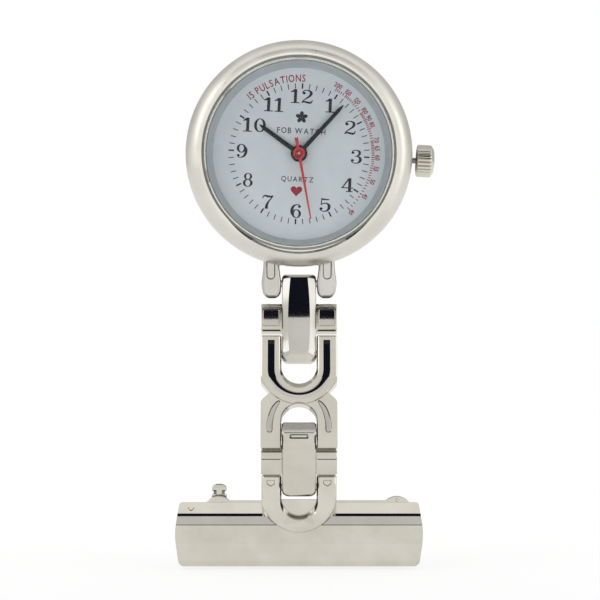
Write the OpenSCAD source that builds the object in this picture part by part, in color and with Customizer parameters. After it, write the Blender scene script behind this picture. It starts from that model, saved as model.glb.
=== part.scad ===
// Fob watch: a round quartz watch head on three hinged links under which hangs a bar brooch.
// Every module is drawn in the watch's own axes: x right, y up, z from the case back to the glass.
// place() stands the result upright: +Z up, the dial towards -Y, the origin on the case back.

/* [Watch head] */
// Outer diameter of the case
case_d = 30; // [29.8:0.1:31]
// Height from the case back to the top of the bezel
case_h = 8.4; // [8.35:0.05:8.8]
// Opening of the bezel in front of the glass
bezel_d = 25.9; // [25.6:0.1:26.4]
// Diameter of the dial plate
dial_d = 24; // [23.4:0.1:24.2]
// Clockwise turn of the movement, the dial and the crown inside the case
movement_turn = 3; // [0:1:6]
// Diameter of the crown
crown_d = 4.3; // [3.6:0.1:4.6]
// Length of the crown
crown_l = 2.4; // [2:0.1:3]
// Travel of the crown from the setting position to the case
crown_travel = 0.5; // [0.3:0.1:0.5]

/* [Hands] */
// Length of the hour hand from the centre
hour_hand_l = 6.5; // [5.5:0.1:7]
// Length of the minute hand from the centre
minute_hand_l = 8.7; // [7.5:0.1:9.5]
// Length of the second hand from the centre
second_hand_l = 8.85; // [7.5:0.05:9.5]
// Hour shown
show_hour = 10; // [1:1:12]
// Minute shown
show_minute = 6.6; // [0:0.1:59.9]
// Second shown
show_second = 27.7; // [0:0.1:59.9]

/* [Chain] */
// Width of the lugs and of every link
link_w = 10; // [9.8:0.1:10.4]
// Thickness of a U link
link_t = 2.3; // [2.2:0.05:2.5]
// Width of the middle bar of a cross link
bar_w = 4.35; // [4.1:0.05:4.4]
// Gap between the two legs of a U link
fork_w = 4.65; // [4.55:0.05:4.8]
// Distance between the two pins of a cross link
cross_pitch = 9.78; // [9.6:0.02:10]
// Distance between the two pins of the double U link
double_pitch = 10.69; // [10.6:0.01:11]
// Diameter of the link pins
pin_d = 1; // [0.9:0.05:1.1]
// Forward lean of the upper cross link and of the double U link
lean_front = 18; // [10:1:20]
// Backward lean of the lower cross link
lean_back = 39.6; // [30:0.1:42]

/* [Brooch] */
// Length of the brooch bar
brooch_l = 32.9; // [32:0.1:36]
// Diameter of the brooch pin wire
stem_d = 0.8; // [0.7:0.02:0.84]

/* [Hidden] */
$fn = 96;

nickel = [0.80, 0.79, 0.76];
brass = [0.80, 0.66, 0.36];
plastic = [0.90, 0.90, 0.88];
steel = [0.72, 0.73, 0.75];
rubber = [0.16, 0.16, 0.17];
black = [0.05, 0.05, 0.06];
red = [0.78, 0.10, 0.12];
copper = [0.72, 0.38, 0.20];

run = 0.03;      // radial play of a wheel on its post or in its pivot hole
slip = 0.01;     // radial play of a part pressed on another
over = 1;        // how far a cutter runs past the face that it cuts

// Case
case_r = case_d / 2;
bore_r = 12.2;              // cavity of the case
back_r = 13.8;              // case back
rim_z = 1.1;                // face of the case on which the back sits
back_t = 0.6;
flat_r = 11.2;              // flat of the case back
dial_z = 4.6;               // underside of the dial
dial_t = 0.4;
glass_z = 6.9;              // seat of the glass
glass_t = 1.35;
glass_r = bezel_d / 2 - 0.45;

// Movement
plate_z = 3;                // underside of the main plate
motion_z = 3.85;            // floor of the motion work recess
plate_r = 8.9;
plate_half_w = 7.6;
stem_z = 3.1;
bridge_z = 1.1;
battery_r = 3.4;
battery_at = 5.5 * [cos(130), sin(130)];
strap_half = 4.15;          // from the battery centre to each strap screw
arbor_d = 0.24;

// Wheels: number of teeth and module of each mesh, and the centres that follow
rotor_m = 0.09;
fourth_m = 0.08;
third_m = 0.0635;
centre_m = 0.06;
motion_m = 0.1;
hour_m = 0.096;
wheel_t = 0.2;
function apart(z1, z2, m) = (z1 + z2) * m / 2;
function along(p, d, a) = p + d * [cos(a), sin(a)];
third_dir = 230;
inter_dir = -40;
rotor_dir = -60;
third_at = along([0, 0], apart(8, 60, third_m), third_dir);
inter_at = along([0, 0], apart(8, 48, fourth_m), inter_dir);
rotor_at = along(inter_at, apart(8, 40, rotor_m), rotor_dir);
minute_wheel_x = apart(12, 36, motion_m);
setting_x = minute_wheel_x + apart(36, 18, motion_m);
pinion_r = 18 * motion_m / 2;        // radius of the end teeth of the sliding pinion

// Rest angle of a wheel with z2 teeth, so that its gaps meet the teeth of a wheel with z1
function mesh(phase, z1, z2, dir) = dir + 180 + 180 / z2 + (dir - phase) * z1 / z2;
inter_phase = mesh(0, 48, 8, inter_dir);
rotor_phase = mesh(0, 40, 8, rotor_dir);
third_phase = mesh(0, 8, 60, third_dir);
centre_phase = mesh(0, 8, 64, third_dir + 180);
cannon_phase = 0;
minute_wheel_phase = mesh(cannon_phase, 12, 36, 0);
hour_phase = mesh(0, 10, 40, 180);
setting_phase = mesh(minute_wheel_phase, 36, 18, 0);

// Heights of the pipes and of the hands
second_top = 6.22;
minute_top = 5.85;
hour_top = 5.5;
hand_t = 0.15;

// Crown and stem, along the stem axis
crown_x = case_r + crown_travel + 0.1;
stem_r = 0.38;
square_w = 0.56;
pinion_x = 6.15;
pinion_l = 0.8;

// Chain: [y, z] of the four link pins
lug_y = 17.2;
lug_z = 3.8;
lean_f = [-cos(lean_front), sin(lean_front)];
lean_b = [-cos(lean_back), -sin(lean_back)];
p1 = [-lug_y, lug_z];
p2 = p1 + cross_pitch * lean_f;
p3 = p2 + double_pitch * lean_f;
p4 = p3 + cross_pitch * lean_b;
leg_half = link_t / 2;
pin_l = link_w - 0.4;
bar_reach = 1.2;            // bar of a cross link beyond its pins
arm_half = 1.9;             // half height of the arms of a cross link
double_tip = 2.35;          // double U link beyond its pins
lug_tip = 1.96;
brooch_tip = 1.64;

// Brooch, measured from its link pin
bar_top = -2.1;
bar_bottom = -10.5;
bar_front = 1;
fork_floor = -3.8;
plate_t = 0.7;
plate_back = -leg_half - plate_t;
wire_y = -3.4;
wire_z = plate_back - 1.5;
joint_x = 13.04;
catch_x = -10.7;
disc_r = 2.1;
foot_t = 0.2;
wire_end_x = -9.2;
tip_x = -12.4;
catch_l = 2.1;
roller_r = 0.95;
wire_hole_r = 0.45;

// ---- placing ----

module place() {
    rotate([90, 0, 0]) children();
}

module in_movement() {
    place() rotate([0, 0, -movement_turn]) children();
}

module at_link(p, lean) {
    place() translate([0, p[0], p[1]]) rotate([-lean, 0, 0]) children();
}

module on_stem(x) {
    in_movement() translate([x, 0, stem_z]) rotate([0, 90, 0]) children();
}

module at_xy(p, z) {
    translate([p[0], p[1], z]) children();
}

// Extrude a [y, z] outline along x, centred
module across(w) {
    rotate([90, 0, 90]) linear_extrude(w, center = true) children();
}

// Round bar along x, centred on x = 0
module x_rod(r, l) {
    rotate([0, 90, 0]) cylinder(h = l, r = r, center = true);
}

module disc(r, z0, z1) {
    translate([0, 0, z0]) cylinder(h = z1 - z0, r = r);
}

module ring(r_out, r_in, z0, z1) {
    difference() {
        disc(r_out, z0, z1);
        disc(r_in, z0 - over, z1 + over);
    }
}

// ---- case ----

// Section of the case from its bore round to the bezel and the sloping flange above the dial
function bezel_arc() = [for (a = [0:15:75])
    [case_r - 1.45 + 1.45 * cos(a), 5.6 + (case_h - 5.6) * sin(a)]];
case_section = concat(
    [[bore_r, rim_z], [back_r, rim_z], [case_r - 0.4, 1.9], [case_r, 3]],
    bezel_arc(),
    [[case_r - 1.45, case_h], [bezel_d / 2 + 0.15, case_h - 0.1], [bezel_d / 2, case_h - 0.3],
    [bezel_d / 2, glass_z], [glass_r - 0.2, glass_z], [11.4, dial_z + dial_t + 0.15],
    [11.4, dial_z + dial_t], [bore_r, dial_z + dial_t]]);

// Lug pair: rounded at the pin and growing into the case band
module lugs() {
    intersection() {
        across(link_w) union() {
            polygon([[-13.2, 1.9], [-16, lug_z - leg_half], [-lug_y - lug_tip + leg_half, lug_z - leg_half],
                [-lug_y - lug_tip + leg_half, lug_z + leg_half], [-16, lug_z + leg_half], [-13.2, 5.9]]);
            translate([-lug_y - lug_tip + leg_half, lug_z]) circle(r = leg_half);
        }
        for (s = [-1, 1])
            translate([s * (link_w / 2 + 2.4) / 2 - (link_w / 2 - 2.4) / 2, -22, 0])
                cube([link_w / 2 - 2.4, 10, 8]);
    }
}

module case_body() {
    color(nickel) {
        difference() {
            union() {
                place() rotate_extrude() polygon(case_section);
                place() lugs();
            }
            place() translate([0, -lug_y, lug_z]) x_rod(pin_d / 2 + slip, link_w + over);
            on_stem(bore_r - 1.5) cylinder(h = 6, r = 0.45);
            on_stem(bore_r - 1.5) cylinder(h = 2.3, r = 0.85);
        }
    }
}

module case_back() {
    color(nickel) place() difference() {
        rotate_extrude() polygon([[0, 0], [flat_r, 0], [12.9, 0.35], [back_r - 0.1, 1], [back_r - 0.1, rim_z],
            [11.85, rim_z], [11.85, 2], [11.3, 2], [11.3, back_t], [0, back_t]]);
        rotate([0, 0, 130]) translate([back_r - 0.5, -1.5, 0.75]) cube([2, 3, 0.2]);
    }
}

module back_gasket() {
    color(rubber) place() ring(bore_r - 0.02, 11.87, rim_z, 1.6);
}

module crystal() {
    color([0.75, 0.85, 0.90, 0.35]) place() rotate_extrude() polygon([[0, glass_z], [glass_r, glass_z],
        [glass_r, glass_z + glass_t - 0.2], [glass_r - 0.2, glass_z + glass_t], [0, glass_z + glass_t]]);
}

module crystal_gasket() {
    color(rubber) place() ring(bezel_d / 2 - 0.02, glass_r + 0.02, glass_z, glass_z + 1.05);
}

module stem_seal() {
    color(rubber) on_stem(bore_r + 0.05) ring(0.83, stem_r + 0.04, 0, 0.7);
}

module lug_pin() {
    color(steel) place() translate([0, -lug_y, lug_z]) x_rod(pin_d / 2, pin_l);
}

// ---- dial and hands ----

dial_feet = [[-5.9, -3.2], [5.6, 3.4]];

module dial() {
    color("white") in_movement() {
        difference() {
            disc(dial_d / 2, dial_z, dial_z + dial_t);
            disc(0.8, dial_z - over, dial_z + over);
        }
        for (f = dial_feet) at_xy(f, dial_z - 0.7) cylinder(h = 0.7 + dial_t / 2, r = 0.35);
    }
}

// Flat hand pointing up: a slim blade that widens towards its pointed tip, on a round boss
module hand_plate(l, w, boss_r, hole_r) {
    difference() {
        union() {
            cylinder(h = hand_t, r = boss_r);
            linear_extrude(hand_t) polygon([[-0.7 * w / 2, 0], [-w / 2, l - 2.2 * w], [0, l],
                [w / 2, l - 2.2 * w], [0.7 * w / 2, 0]]);
        }
        translate([0, 0, -over]) cylinder(h = 3, r = hole_r);
    }
}

minute_turn = show_minute * 6;
hour_turn = (show_hour + show_minute / 60) * 30;
second_turn = show_second * 6;
cannon_r = 0.4;
hour_pipe_r = 0.58;
second_arbor_r = 0.13;

module hour_hand() {
    color(black) in_movement() rotate([0, 0, -hour_turn]) translate([0, 0, hour_top - hand_t])
        hand_plate(hour_hand_l, 0.56, 1.1, hour_pipe_r + slip);
}

module minute_hand() {
    color(black) in_movement() rotate([0, 0, -minute_turn]) translate([0, 0, minute_top - hand_t])
        hand_plate(minute_hand_l, 0.52, 1.1, cannon_r + slip);
}

module second_hand() {
    color(red) in_movement() rotate([0, 0, -second_turn]) difference() {
        union() {
            translate([0, 0, second_top - 0.12]) {
                cylinder(h = 0.12, r = 0.8);
                linear_extrude(0.12)
                    polygon([[-0.2, 0], [-0.1, second_hand_l], [0.1, second_hand_l], [0.2, 0]]);
                linear_extrude(0.12) polygon([[-0.2, 0], [-0.24, -2.2], [0.24, -2.2], [0.2, 0]]);
            }
            disc(0.3, second_top - 0.25, second_top + 0.14);
        }
        disc(second_arbor_r + slip, second_top - over, second_top);
    }
}

// ---- wheels ----

// One tooth from root to root: [share of the tooth pitch, modules from the pitch circle]
tooth_corners = [[-0.30, -1.2], [-0.12, 0.85], [0.12, 0.85], [0.30, -1.2]];

// Toothed wheel with the centre of one tooth at the angle phase
module gear(teeth, m, z0, h, phase) {
    outline = [for (i = [0:teeth - 1], c = tooth_corners)
        let (a = phase + (i + c[0]) * 360 / teeth, r = teeth * m / 2 + c[1] * m) r * [cos(a), sin(a)]];
    translate([0, 0, z0]) linear_extrude(h) polygon(outline);
}

module arbor(z0, z1, d = arbor_d) {
    disc(d / 2, z0, z1);
}

module fourth_wheel() {
    color(brass) in_movement() {
        gear(48, fourth_m, 1.65, wheel_t, 0);
        gear(8, third_m, 2.25, wheel_t, 0);
        arbor(1.2, second_top - 0.02, 2 * second_arbor_r);
    }
}

module third_wheel() {
    color(brass) in_movement() at_xy(third_at, 0) {
        gear(60, third_m, 2.25, wheel_t, third_phase);
        gear(8, centre_m, 2.6, wheel_t, 0);
        arbor(1.2, 3.4);
    }
}

module centre_wheel() {
    color(brass) in_movement() difference() {
        union() {
            gear(64, centre_m, 2.6, wheel_t, centre_phase);
            disc(0.27, 2.52, 4.6);
        }
        disc(second_arbor_r + run, 2, 5);
    }
}

module intermediate_wheel() {
    color(brass) in_movement() at_xy(inter_at, 0) {
        gear(40, rotor_m, 1.95, wheel_t, 0);
        gear(8, fourth_m, 1.65, wheel_t, inter_phase);
        arbor(1.2, 3.4);
    }
}

module rotor() {
    color(steel) in_movement() at_xy(rotor_at, 0) {
        gear(8, rotor_m, 1.95, wheel_t, rotor_phase);
        disc(0.75, 2.25, 2.75);
        arbor(1.2, 3.4);
    }
}

module cannon_pinion() {
    color(brass) in_movement() difference() {
        union() {
            gear(12, motion_m, motion_z + 0.03, 0.25, cannon_phase);
            disc(cannon_r, motion_z + 0.03, minute_top - 0.02);
        }
        disc(0.3, motion_z - over, minute_top + over);
    }
}

module hour_wheel() {
    color(brass) in_movement() difference() {
        union() {
            gear(40, hour_m, 4.22, 0.18, hour_phase);
            disc(hour_pipe_r, 4.22, hour_top - 0.02);
        }
        disc(cannon_r + run, 4, 6);
    }
}

module minute_wheel() {
    color(brass) in_movement() translate([minute_wheel_x, 0, 0]) difference() {
        union() {
            gear(36, motion_m, motion_z + 0.03, 0.22, minute_wheel_phase);
            gear(10, hour_m, motion_z + 0.25, 0.32, 0);
        }
        disc(0.25 + run, 3, 5);
    }
}

module setting_wheel() {
    color(steel) in_movement() translate([setting_x, 0, 0]) difference() {
        gear(18, motion_m, motion_z + 0.03, 0.22, setting_phase);
        disc(0.25 + run, 3, 5);
    }
}

// ---- keyless work: the stem slides through the sliding pinion and turns it by its square ----

module sliding_pinion() {
    color(steel) in_movement() difference() {
        translate([pinion_x, 0, stem_z]) {
            rotate([0, 90, 0]) cylinder(h = pinion_l, r = pinion_r + 0.15);
            for (i = [0:17]) rotate([10 - setting_phase + 20 * i, 0, 0])
                translate([-0.2, -0.06, pinion_r - 0.15]) cube([0.3, 0.12, 0.3]);
        }
        translate([pinion_x - over, -0.31, stem_z - 0.31]) cube([pinion_l + 2 * over, 0.62, 0.62]);
    }
}

module winding_stem() {
    color(steel) {
        on_stem(5.2) cylinder(h = 0.6, r = 0.28);
        in_movement() translate([5.7, -square_w / 2, stem_z - square_w / 2])
            cube([2, square_w, square_w]);
        on_stem(7.6) cylinder(h = crown_x + 1.2 - 7.6, r = stem_r);
    }
}

flutes = 26;
crown_outline = [for (i = [0:flutes - 1], c = [[-0.3, 0], [-0.2, 1], [0.2, 1], [0.3, 0]])
    let (r = crown_d / 2 - 0.14 * (1 - c[1]), a = (i + c[0]) * 360 / flutes) r * [cos(a), sin(a)]];

module crown() {
    color(nickel) on_stem(crown_x) difference() {
        intersection() {
            linear_extrude(crown_l) polygon(crown_outline);
            rotate_extrude() polygon([[0, 0], [crown_d / 2 - 0.1, 0], [crown_d / 2, 0.15],
                [crown_d / 2, crown_l - 0.45], [crown_d / 2 - 0.4, crown_l - 0.1],
                [crown_d / 2 - 0.9, crown_l],
                [0, crown_l]]);
        }
        disc(stem_r + slip, -over, 1.3);
        ring(1.5, stem_r + 0.4, -over, 0.6);
    }
}

// ---- fixed parts of the movement ----

// Outline of the movement, grown by g: a disc with two flats
module movement_outline(g) {
    intersection() {
        circle(r = plate_r + g);
        square(2 * [plate_half_w + g, plate_r + 1], center = true);
    }
}

strap_ends = [for (s = [-1, 1]) battery_at + s * strap_half * [cos(45), sin(45)]];
bridge_posts = [[-3.5, -3.2], [5.1, -3.9], [2.9, 1.3]];
core_ends = [[-3.9, -6.5], [4.5, -6.5]];

module movement_ring() {
    color(plastic) in_movement() difference() {
        union() {
            disc(11.2, 0.75, 2.1);
            disc(bore_r - 0.1, 2.1, dial_z);
        }
        translate([0, 0, 0.5]) linear_extrude(5) movement_outline(0.1);
        translate([7, -0.8, 2]) cube([6, 1.6, 3]);
    }
}

module main_plate() {
    color(brass) in_movement() difference() {
        union() {
            translate([0, 0, plate_z]) linear_extrude(dial_z - plate_z) movement_outline(0);
            for (p = strap_ends) at_xy(p, bridge_z) cylinder(h = 2.2, r = 0.45);
            for (p = core_ends) at_xy(p, 2.7) cylinder(h = 0.6, r = 0.5);
        }
        at_xy(battery_at, 0) disc(battery_r + 0.05, 2, plate_z + 0.72);
        disc(0.27 + run, 2, 4);
        for (p = [third_at, inter_at, rotor_at]) at_xy(p, 2) disc(arbor_d / 2 + run, 0, 1.45);
        motion_recess();
        keyless_recess();
        for (f = dial_feet) at_xy(f, 3.8) cylinder(h = 2, r = 0.35 + slip);
        for (p = concat(strap_ends, bridge_posts, core_ends)) at_xy(p, 1) disc(0.25 + slip, 0, 2.55);
    }
}

// Recess in the dial side for the cannon pinion, the minute wheel and the hour wheel
module motion_recess() {
    difference() {
        union() {
            disc(0.75, motion_z, 5);
            disc(2.1, 4.17, 5);
            translate([minute_wheel_x, 0, 0]) disc(2, motion_z, 5);
            translate([setting_x, 0, 0]) disc(1.1, motion_z, 5);
        }
        for (x = [minute_wheel_x, setting_x]) translate([x, 0, 0]) disc(0.25, motion_z - over, 4.45);
    }
}

// Pocket for the sliding pinion and the bearing of the stem
module keyless_recess() {
    translate([5.8, -1.15, 2]) cube([1.4, 2.3, 2.3]);
    translate([4.6, 0, stem_z]) rotate([0, 90, 0]) cylinder(h = 1, r = 0.32);
    translate([5.1, 0, stem_z]) rotate([0, 90, 0]) cylinder(h = 3, r = 0.42);
}

module train_bridge() {
    color(brass) in_movement() difference() {
        union() {
            translate([0, 0, bridge_z]) linear_extrude(0.4)
                polygon([[-4.1, -0.6], [-4.1, -3.7], [-1, -4.6], [5.6, -4.6], [5.6, -3.2], [3.6, 1.9],
                    [-0.6, 1.9]]);
            for (p = bridge_posts) at_xy(p, bridge_z) cylinder(h = plate_z - bridge_z, r = 0.45);
        }
        for (p = [third_at, inter_at, rotor_at, [0, 0]]) at_xy(p, 1) disc(arbor_d / 2 + run, -over, 1);
        for (p = bridge_posts) at_xy(p, 0) disc(0.25 + slip, 0, 4);
    }
}

module circuit_board() {
    color([0.10, 0.36, 0.22]) in_movement() translate([0, 0, plate_z - 0.2]) linear_extrude(0.2)
        polygon([[0.3, 2.6], [0.3, 8], [3, 8.2], [6.9, 5], [6.9, 2], [3, 2.4]]);
}

module ic_chip() {
    color(black) in_movement() translate([1.4, 4.2, plate_z - 0.55]) cylinder(h = 0.35, r = 0.9);
}

module quartz_can() {
    color(steel) in_movement() translate([4.2, 5.2, 2.05]) rotate([0, 0, -38]) x_rod(0.7, 4.2);
}

module coil() {
    color(copper) in_movement() translate([0.2, -6.5, 2.1]) difference() {
        x_rod(0.88, 6.4);
        cube([8, 0.84, 0.44], center = true);
    }
}

module coil_core() {
    color(steel) in_movement() difference() {
        translate([-4.6, -6.9, 1.9]) cube([9.7, 0.8, 0.4]);
        for (p = core_ends) at_xy(p, 1) cylinder(h = 2, r = 0.25 + slip);
    }
}

module stator() {
    color(steel) in_movement() difference() {
        translate([0, 0, 2.3]) linear_extrude(0.4) union() {
            polygon([[-4.6, -7], [-3.2, -7], [-3.2, -5.5], [3.7, -5.5], [3.7, -7], [5.1, -7], [5.1, -5.6],
                [4, -3.3], [1.5, -3.4], [-3.4, -4.9], [-4.6, -5.6]]);
            translate(rotor_at) circle(r = 1.5);
        }
        at_xy(rotor_at, 2) cylinder(h = 1, r = 0.95);
        for (p = core_ends) at_xy(p, 2) cylinder(h = 1, r = 0.25 + slip);
    }
}

module battery() {
    color(steel) in_movement() at_xy(battery_at, 0) {
        disc(battery_r, bridge_z, 3.4);
        disc(battery_r - 0.5, 3.4, 3.7);
    }
}

module battery_strap() {
    color(steel) in_movement() at_xy(battery_at, bridge_z - 0.2) rotate([0, 0, 45]) difference() {
        translate([-strap_half - 0.6, -0.8, 0]) cube([2 * strap_half + 1.2, 1.6, 0.2]);
        for (s = [-1, 1]) translate([s * strap_half, 0, -over]) cylinder(h = 3, r = 0.25 + slip);
    }
}

module screw(z_head) {
    difference() {
        union() {
            disc(0.25, z_head, 3.5);
            disc(0.45, z_head - 0.2, z_head);
        }
        translate([-1, -0.06, z_head - 0.3]) cube([2, 0.12, 0.18]);
    }
}

module movement_screws() {
    color(steel) in_movement() {
        for (p = bridge_posts) at_xy(p, 0) screw(bridge_z);
        for (p = strap_ends) at_xy(p, 0) screw(bridge_z - 0.2);
        for (p = core_ends) at_xy(p, 0) screw(1.9);
    }
}

// ---- chain ----

// Gap between the two legs of a U link: round at y = floor, open at y = tip
module fork_gap(w, floor, tip) {
    translate([0, floor + w / 2]) circle(d = w);
    translate([-w / 2, floor + w / 2]) square([w, tip - floor]);
}

// Side view of a link that is rounded about its pins: from y0 to y1, thickness link_t
module leg_side(y0, y1) {
    translate([y0, -leg_half]) square([y1 - y0 - leg_half, link_t]);
    translate([y1 - leg_half, 0]) circle(r = leg_half);
}

module pin_bore(y, r) {
    translate([0, y, 0]) x_rod(r, link_w + over);
}

// Cross link: a bevelled middle bar that carries both pins, and two arms that fill the chain's width
module cross_link(lean, p, crest) {
    half = cross_pitch / 2 + bar_reach;
    at_link(p, lean) difference() {
        union() {
            intersection() {
                across(bar_w) polygon([[-half, -0.5], [-half, 0.5], [-half + 1.2, 1.35],
                    [half - crest, 1.35], [half, 1.35 - crest], [half, -0.5], [half - 0.5, -1], [-half + 0.5, -1]]);
                rotate([90, 0, 0]) linear_extrude(2 * half + over, center = true)
                    polygon([[-bar_w / 2, -1], [-bar_w / 2, 0.7], [-1.3, 1.35], [1.3, 1.35], [bar_w / 2, 0.7],
                        [bar_w / 2, -1]]);
                linear_extrude(4, center = true) union() {
                    square([bar_w, 2 * half - 1.4], center = true);
                    square([bar_w - 1.4, 2 * half], center = true);
                    for (x = [-1, 1], y = [-1, 1]) translate([x * (bar_w / 2 - 0.7), y * (half - 0.7)])
                        circle(r = 0.7);
                }
            }
            across(link_w) polygon([[-arm_half, -1], [arm_half, -1], [arm_half, 0.4], [arm_half - 0.5, 0.95],
                [0.5 - arm_half, 0.95], [-arm_half, 0.4]]);
        }
        for (s = [-1, 1]) {
            pin_bore(s * cross_pitch / 2, pin_d / 2 + 0.05);
            translate([s * (bar_w / 2 + 0.16) - 0.13, -arm_half - over, 0.6])
                cube([0.26, 2 * arm_half + 2, over]);
        }
    }
}

module upper_cross_link() {
    color(nickel) cross_link(lean_front, (p1 + p2) / 2, 0.8);
}

module lower_cross_link() {
    color(nickel) cross_link(-lean_back, (p3 + p4) / 2, 0.12);
}

notch_half = 3.8;           // half width of the double U link at its waist

module double_u_link() {
    tip = double_pitch / 2 + double_tip;
    chamfer = link_w / 2 - notch_half;
    color(nickel) at_link((p2 + p3) / 2, lean_front) difference() {
        intersection() {
            linear_extrude(link_t, center = true) polygon([for (s = [-1, 1], q = [[link_w / 2, tip],
                [link_w / 2, chamfer], [notch_half, 0], [link_w / 2, -chamfer], [link_w / 2, -tip]]) s * q]);
            across(link_w) {
                leg_side(0, tip);
                mirror([1, 0]) leg_side(0, tip);
            }
        }
        for (s = [0, 1]) mirror([0, s, 0]) {
            translate([0, 0, -3]) linear_extrude(6) fork_gap(fork_w, 1.4, 9);
            pin_bore(double_pitch / 2, pin_d / 2 + slip);
        }
    }
}

module link_pin_upper() {
    color(steel) at_link(p2, lean_front) x_rod(pin_d / 2, pin_l);
}

module link_pin_lower() {
    color(steel) at_link(p3, lean_front) x_rod(pin_d / 2, pin_l);
}

// ---- brooch ----

rivet_xs = [-6.5, 6.5];

// Bar with convex ends, cast in one piece with the fork that takes the lower cross link
module brooch_bar() {
    color(nickel) at_link(p4, 0) difference() {
        union() {
            intersection() {
                across(brooch_l) polygon([[bar_top, -leg_half], [bar_top, -0.55], [-3.5, 0.2], [-3.9, 0.2],
                    [-4.1, 0.45], [-5.1, bar_front], [-9.8, bar_front], [bar_bottom, 0.3],
                    [bar_bottom, -leg_half]]);
                translate([0, (bar_top + bar_bottom) / 2, -4]) cylinder(h = 8, r = brooch_l / 2);
            }
            intersection() {
                linear_extrude(link_t, center = true) union() {
                    translate([0, -1]) circle(d = link_w);
                    translate([-link_w / 2, -1]) square([link_w, 1 + brooch_tip]);
                }
                across(link_w) leg_side(-7, brooch_tip);
            }
        }
        translate([0, 0, -0.35]) linear_extrude(4) fork_gap(4.96, fork_floor, 6);
        translate([-2.48, bar_top + 0.4, -3]) cube([4.96, 6, 6]);
        pin_bore(0, pin_d / 2 + slip);
        for (x = rivet_xs) translate([x, wire_y, -2]) cylinder(h = 1.65, r = 0.5 + slip);
    }
}

module brooch_link_pin() {
    color(steel) at_link(p4, 0) x_rod(pin_d / 2, pin_l);
}

module pin_base_plate() {
    color(nickel) at_link(p4, 0) difference() {
        union() {
            for (x = [catch_x, joint_x]) translate([x, wire_y, 0]) disc(disc_r, plate_back, -leg_half);
            translate([catch_x, wire_y - 1.5, plate_back]) cube([joint_x - catch_x, 3, plate_t]);
        }
        for (x = rivet_xs) translate([x, wire_y, -5]) cylinder(h = 6, r = 0.5 + slip);
        translate([joint_x, -1.8, -5]) cylinder(h = 6, r = 0.22 + slip);
    }
}

module base_rivets() {
    color(steel) at_link(p4, 0) for (x = rivet_xs) translate([x, wire_y, 0]) {
        disc(0.5, plate_back, -0.4);
        disc(0.8, plate_back - foot_t, plate_back);
    }
}

// Foot riveted to the base plate, with two ears across which the rivet of the pin lies
module pin_joint() {
    color(nickel) at_link(p4, 0) difference() {
        translate([joint_x, 0, 0]) {
            translate([-0.75, wire_y - 0.85, plate_back - foot_t]) cube([1.5, 2.75, foot_t]);
            translate([0, -1.8, 0]) disc(0.22, plate_back - foot_t, -1);
            for (y = [wire_y - 0.85, wire_y + 0.45]) translate([0, y, 0]) {
                translate([-0.75, 0, wire_z]) cube([1.5, 0.4, plate_back - wire_z - 0.1]);
                translate([0, 0, wire_z]) rotate([-90, 0, 0]) cylinder(h = 0.4, r = 0.75);
            }
        }
        translate([joint_x, wire_y, wire_z]) rotate([90, 0, 0])
            cylinder(h = 4, r = 0.3 + slip, center = true);
    }
}

module joint_rivet() {
    color(steel) at_link(p4, 0) translate([joint_x, wire_y, wire_z]) rotate([90, 0, 0]) {
        cylinder(h = 2, r = 0.3, center = true);
        for (z = [-1, 0.85]) translate([0, 0, z]) cylinder(h = 0.15, r = 0.5);
    }
}

// Two C-shaped cheeks on a foot, open to the back
module catch_housing() {
    color(nickel) at_link(p4, 0) translate([catch_x, wire_y, 0]) difference() {
        union() {
            translate([-catch_l / 2, -1, wire_z + 1.1]) cube([catch_l, 2, plate_back - wire_z - 1.1]);
            translate([0, 0, wire_z]) x_rod(1.45, catch_l);
        }
        translate([0, 0, wire_z]) x_rod(roller_r + 0.05, catch_l + over);
        translate([-2, -0.55, wire_z - 3]) cube([4, 1.1, 3]);
        translate([-0.5, -3, wire_z - 3]) cube([1, 6, 4.3]);
    }
}

// Roller with a slot that lets the pin in from the back, and a tab that turns it
module catch_roller() {
    color(nickel) at_link(p4, 0) translate([catch_x, wire_y, wire_z]) difference() {
        union() {
            x_rod(roller_r, catch_l);
            translate([-0.35, 0, -0.35]) cube([0.7, 2.8, 0.7]);
            translate([-1.02, 1.6, -0.35]) cube([2.04, 0.6, 0.7]);
            translate([-0.7, 2.1, -0.35]) cube([1.4, 0.6, 0.7]);
            intersection() {
                translate([-1.02, 2.6, -0.35]) cube([2.04, 1, 0.7]);
                translate([0, 2.35, 0]) cylinder(h = 4, r = 1.25, center = true);
            }
        }
        x_rod(wire_hole_r, catch_l + over);
        translate([-2, -0.45, -2]) cube([4, 0.9, 2]);
    }
}

module pin_stem() {
    color(steel) at_link(p4, 0) translate([0, wire_y, wire_z]) difference() {
        union() {
            translate([joint_x, 0, 0]) rotate([90, 0, 0]) cylinder(h = 0.8, r = 0.75, center = true);
            translate([wire_end_x, 0, 0]) rotate([0, 90, 0])
                cylinder(h = joint_x - wire_end_x - 0.5, r = stem_d / 2);
            rotate([0, -90, 0]) rotate_extrude() polygon([[0, -wire_end_x - 1],
                [stem_d / 2, -wire_end_x], [stem_d / 2 - 0.08, -tip_x - 1.2], [0.05, -tip_x], [0, -tip_x]]);
        }
        translate([joint_x, 0, 0]) rotate([90, 0, 0]) cylinder(h = 2, r = 0.3 + run, center = true);
    }
}

case_body();
case_back();
back_gasket();
crystal();
crystal_gasket();
dial();
movement_ring();
main_plate();
train_bridge();
circuit_board();
ic_chip();
quartz_can();
coil();
coil_core();
stator();
battery();
battery_strap();
movement_screws();
stem_seal();
lug_pin();
second_hand();
fourth_wheel();
third_wheel();
centre_wheel();
intermediate_wheel();
rotor();
minute_hand();
cannon_pinion();
hour_hand();
hour_wheel();
minute_wheel();
setting_wheel();
sliding_pinion();
winding_stem();
crown();
upper_cross_link();
double_u_link();
link_pin_upper();
link_pin_lower();
lower_cross_link();
brooch_bar();
brooch_link_pin();
pin_base_plate();
base_rivets();
pin_joint();
joint_rivet();
catch_housing();
catch_roller();
pin_stem();
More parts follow.
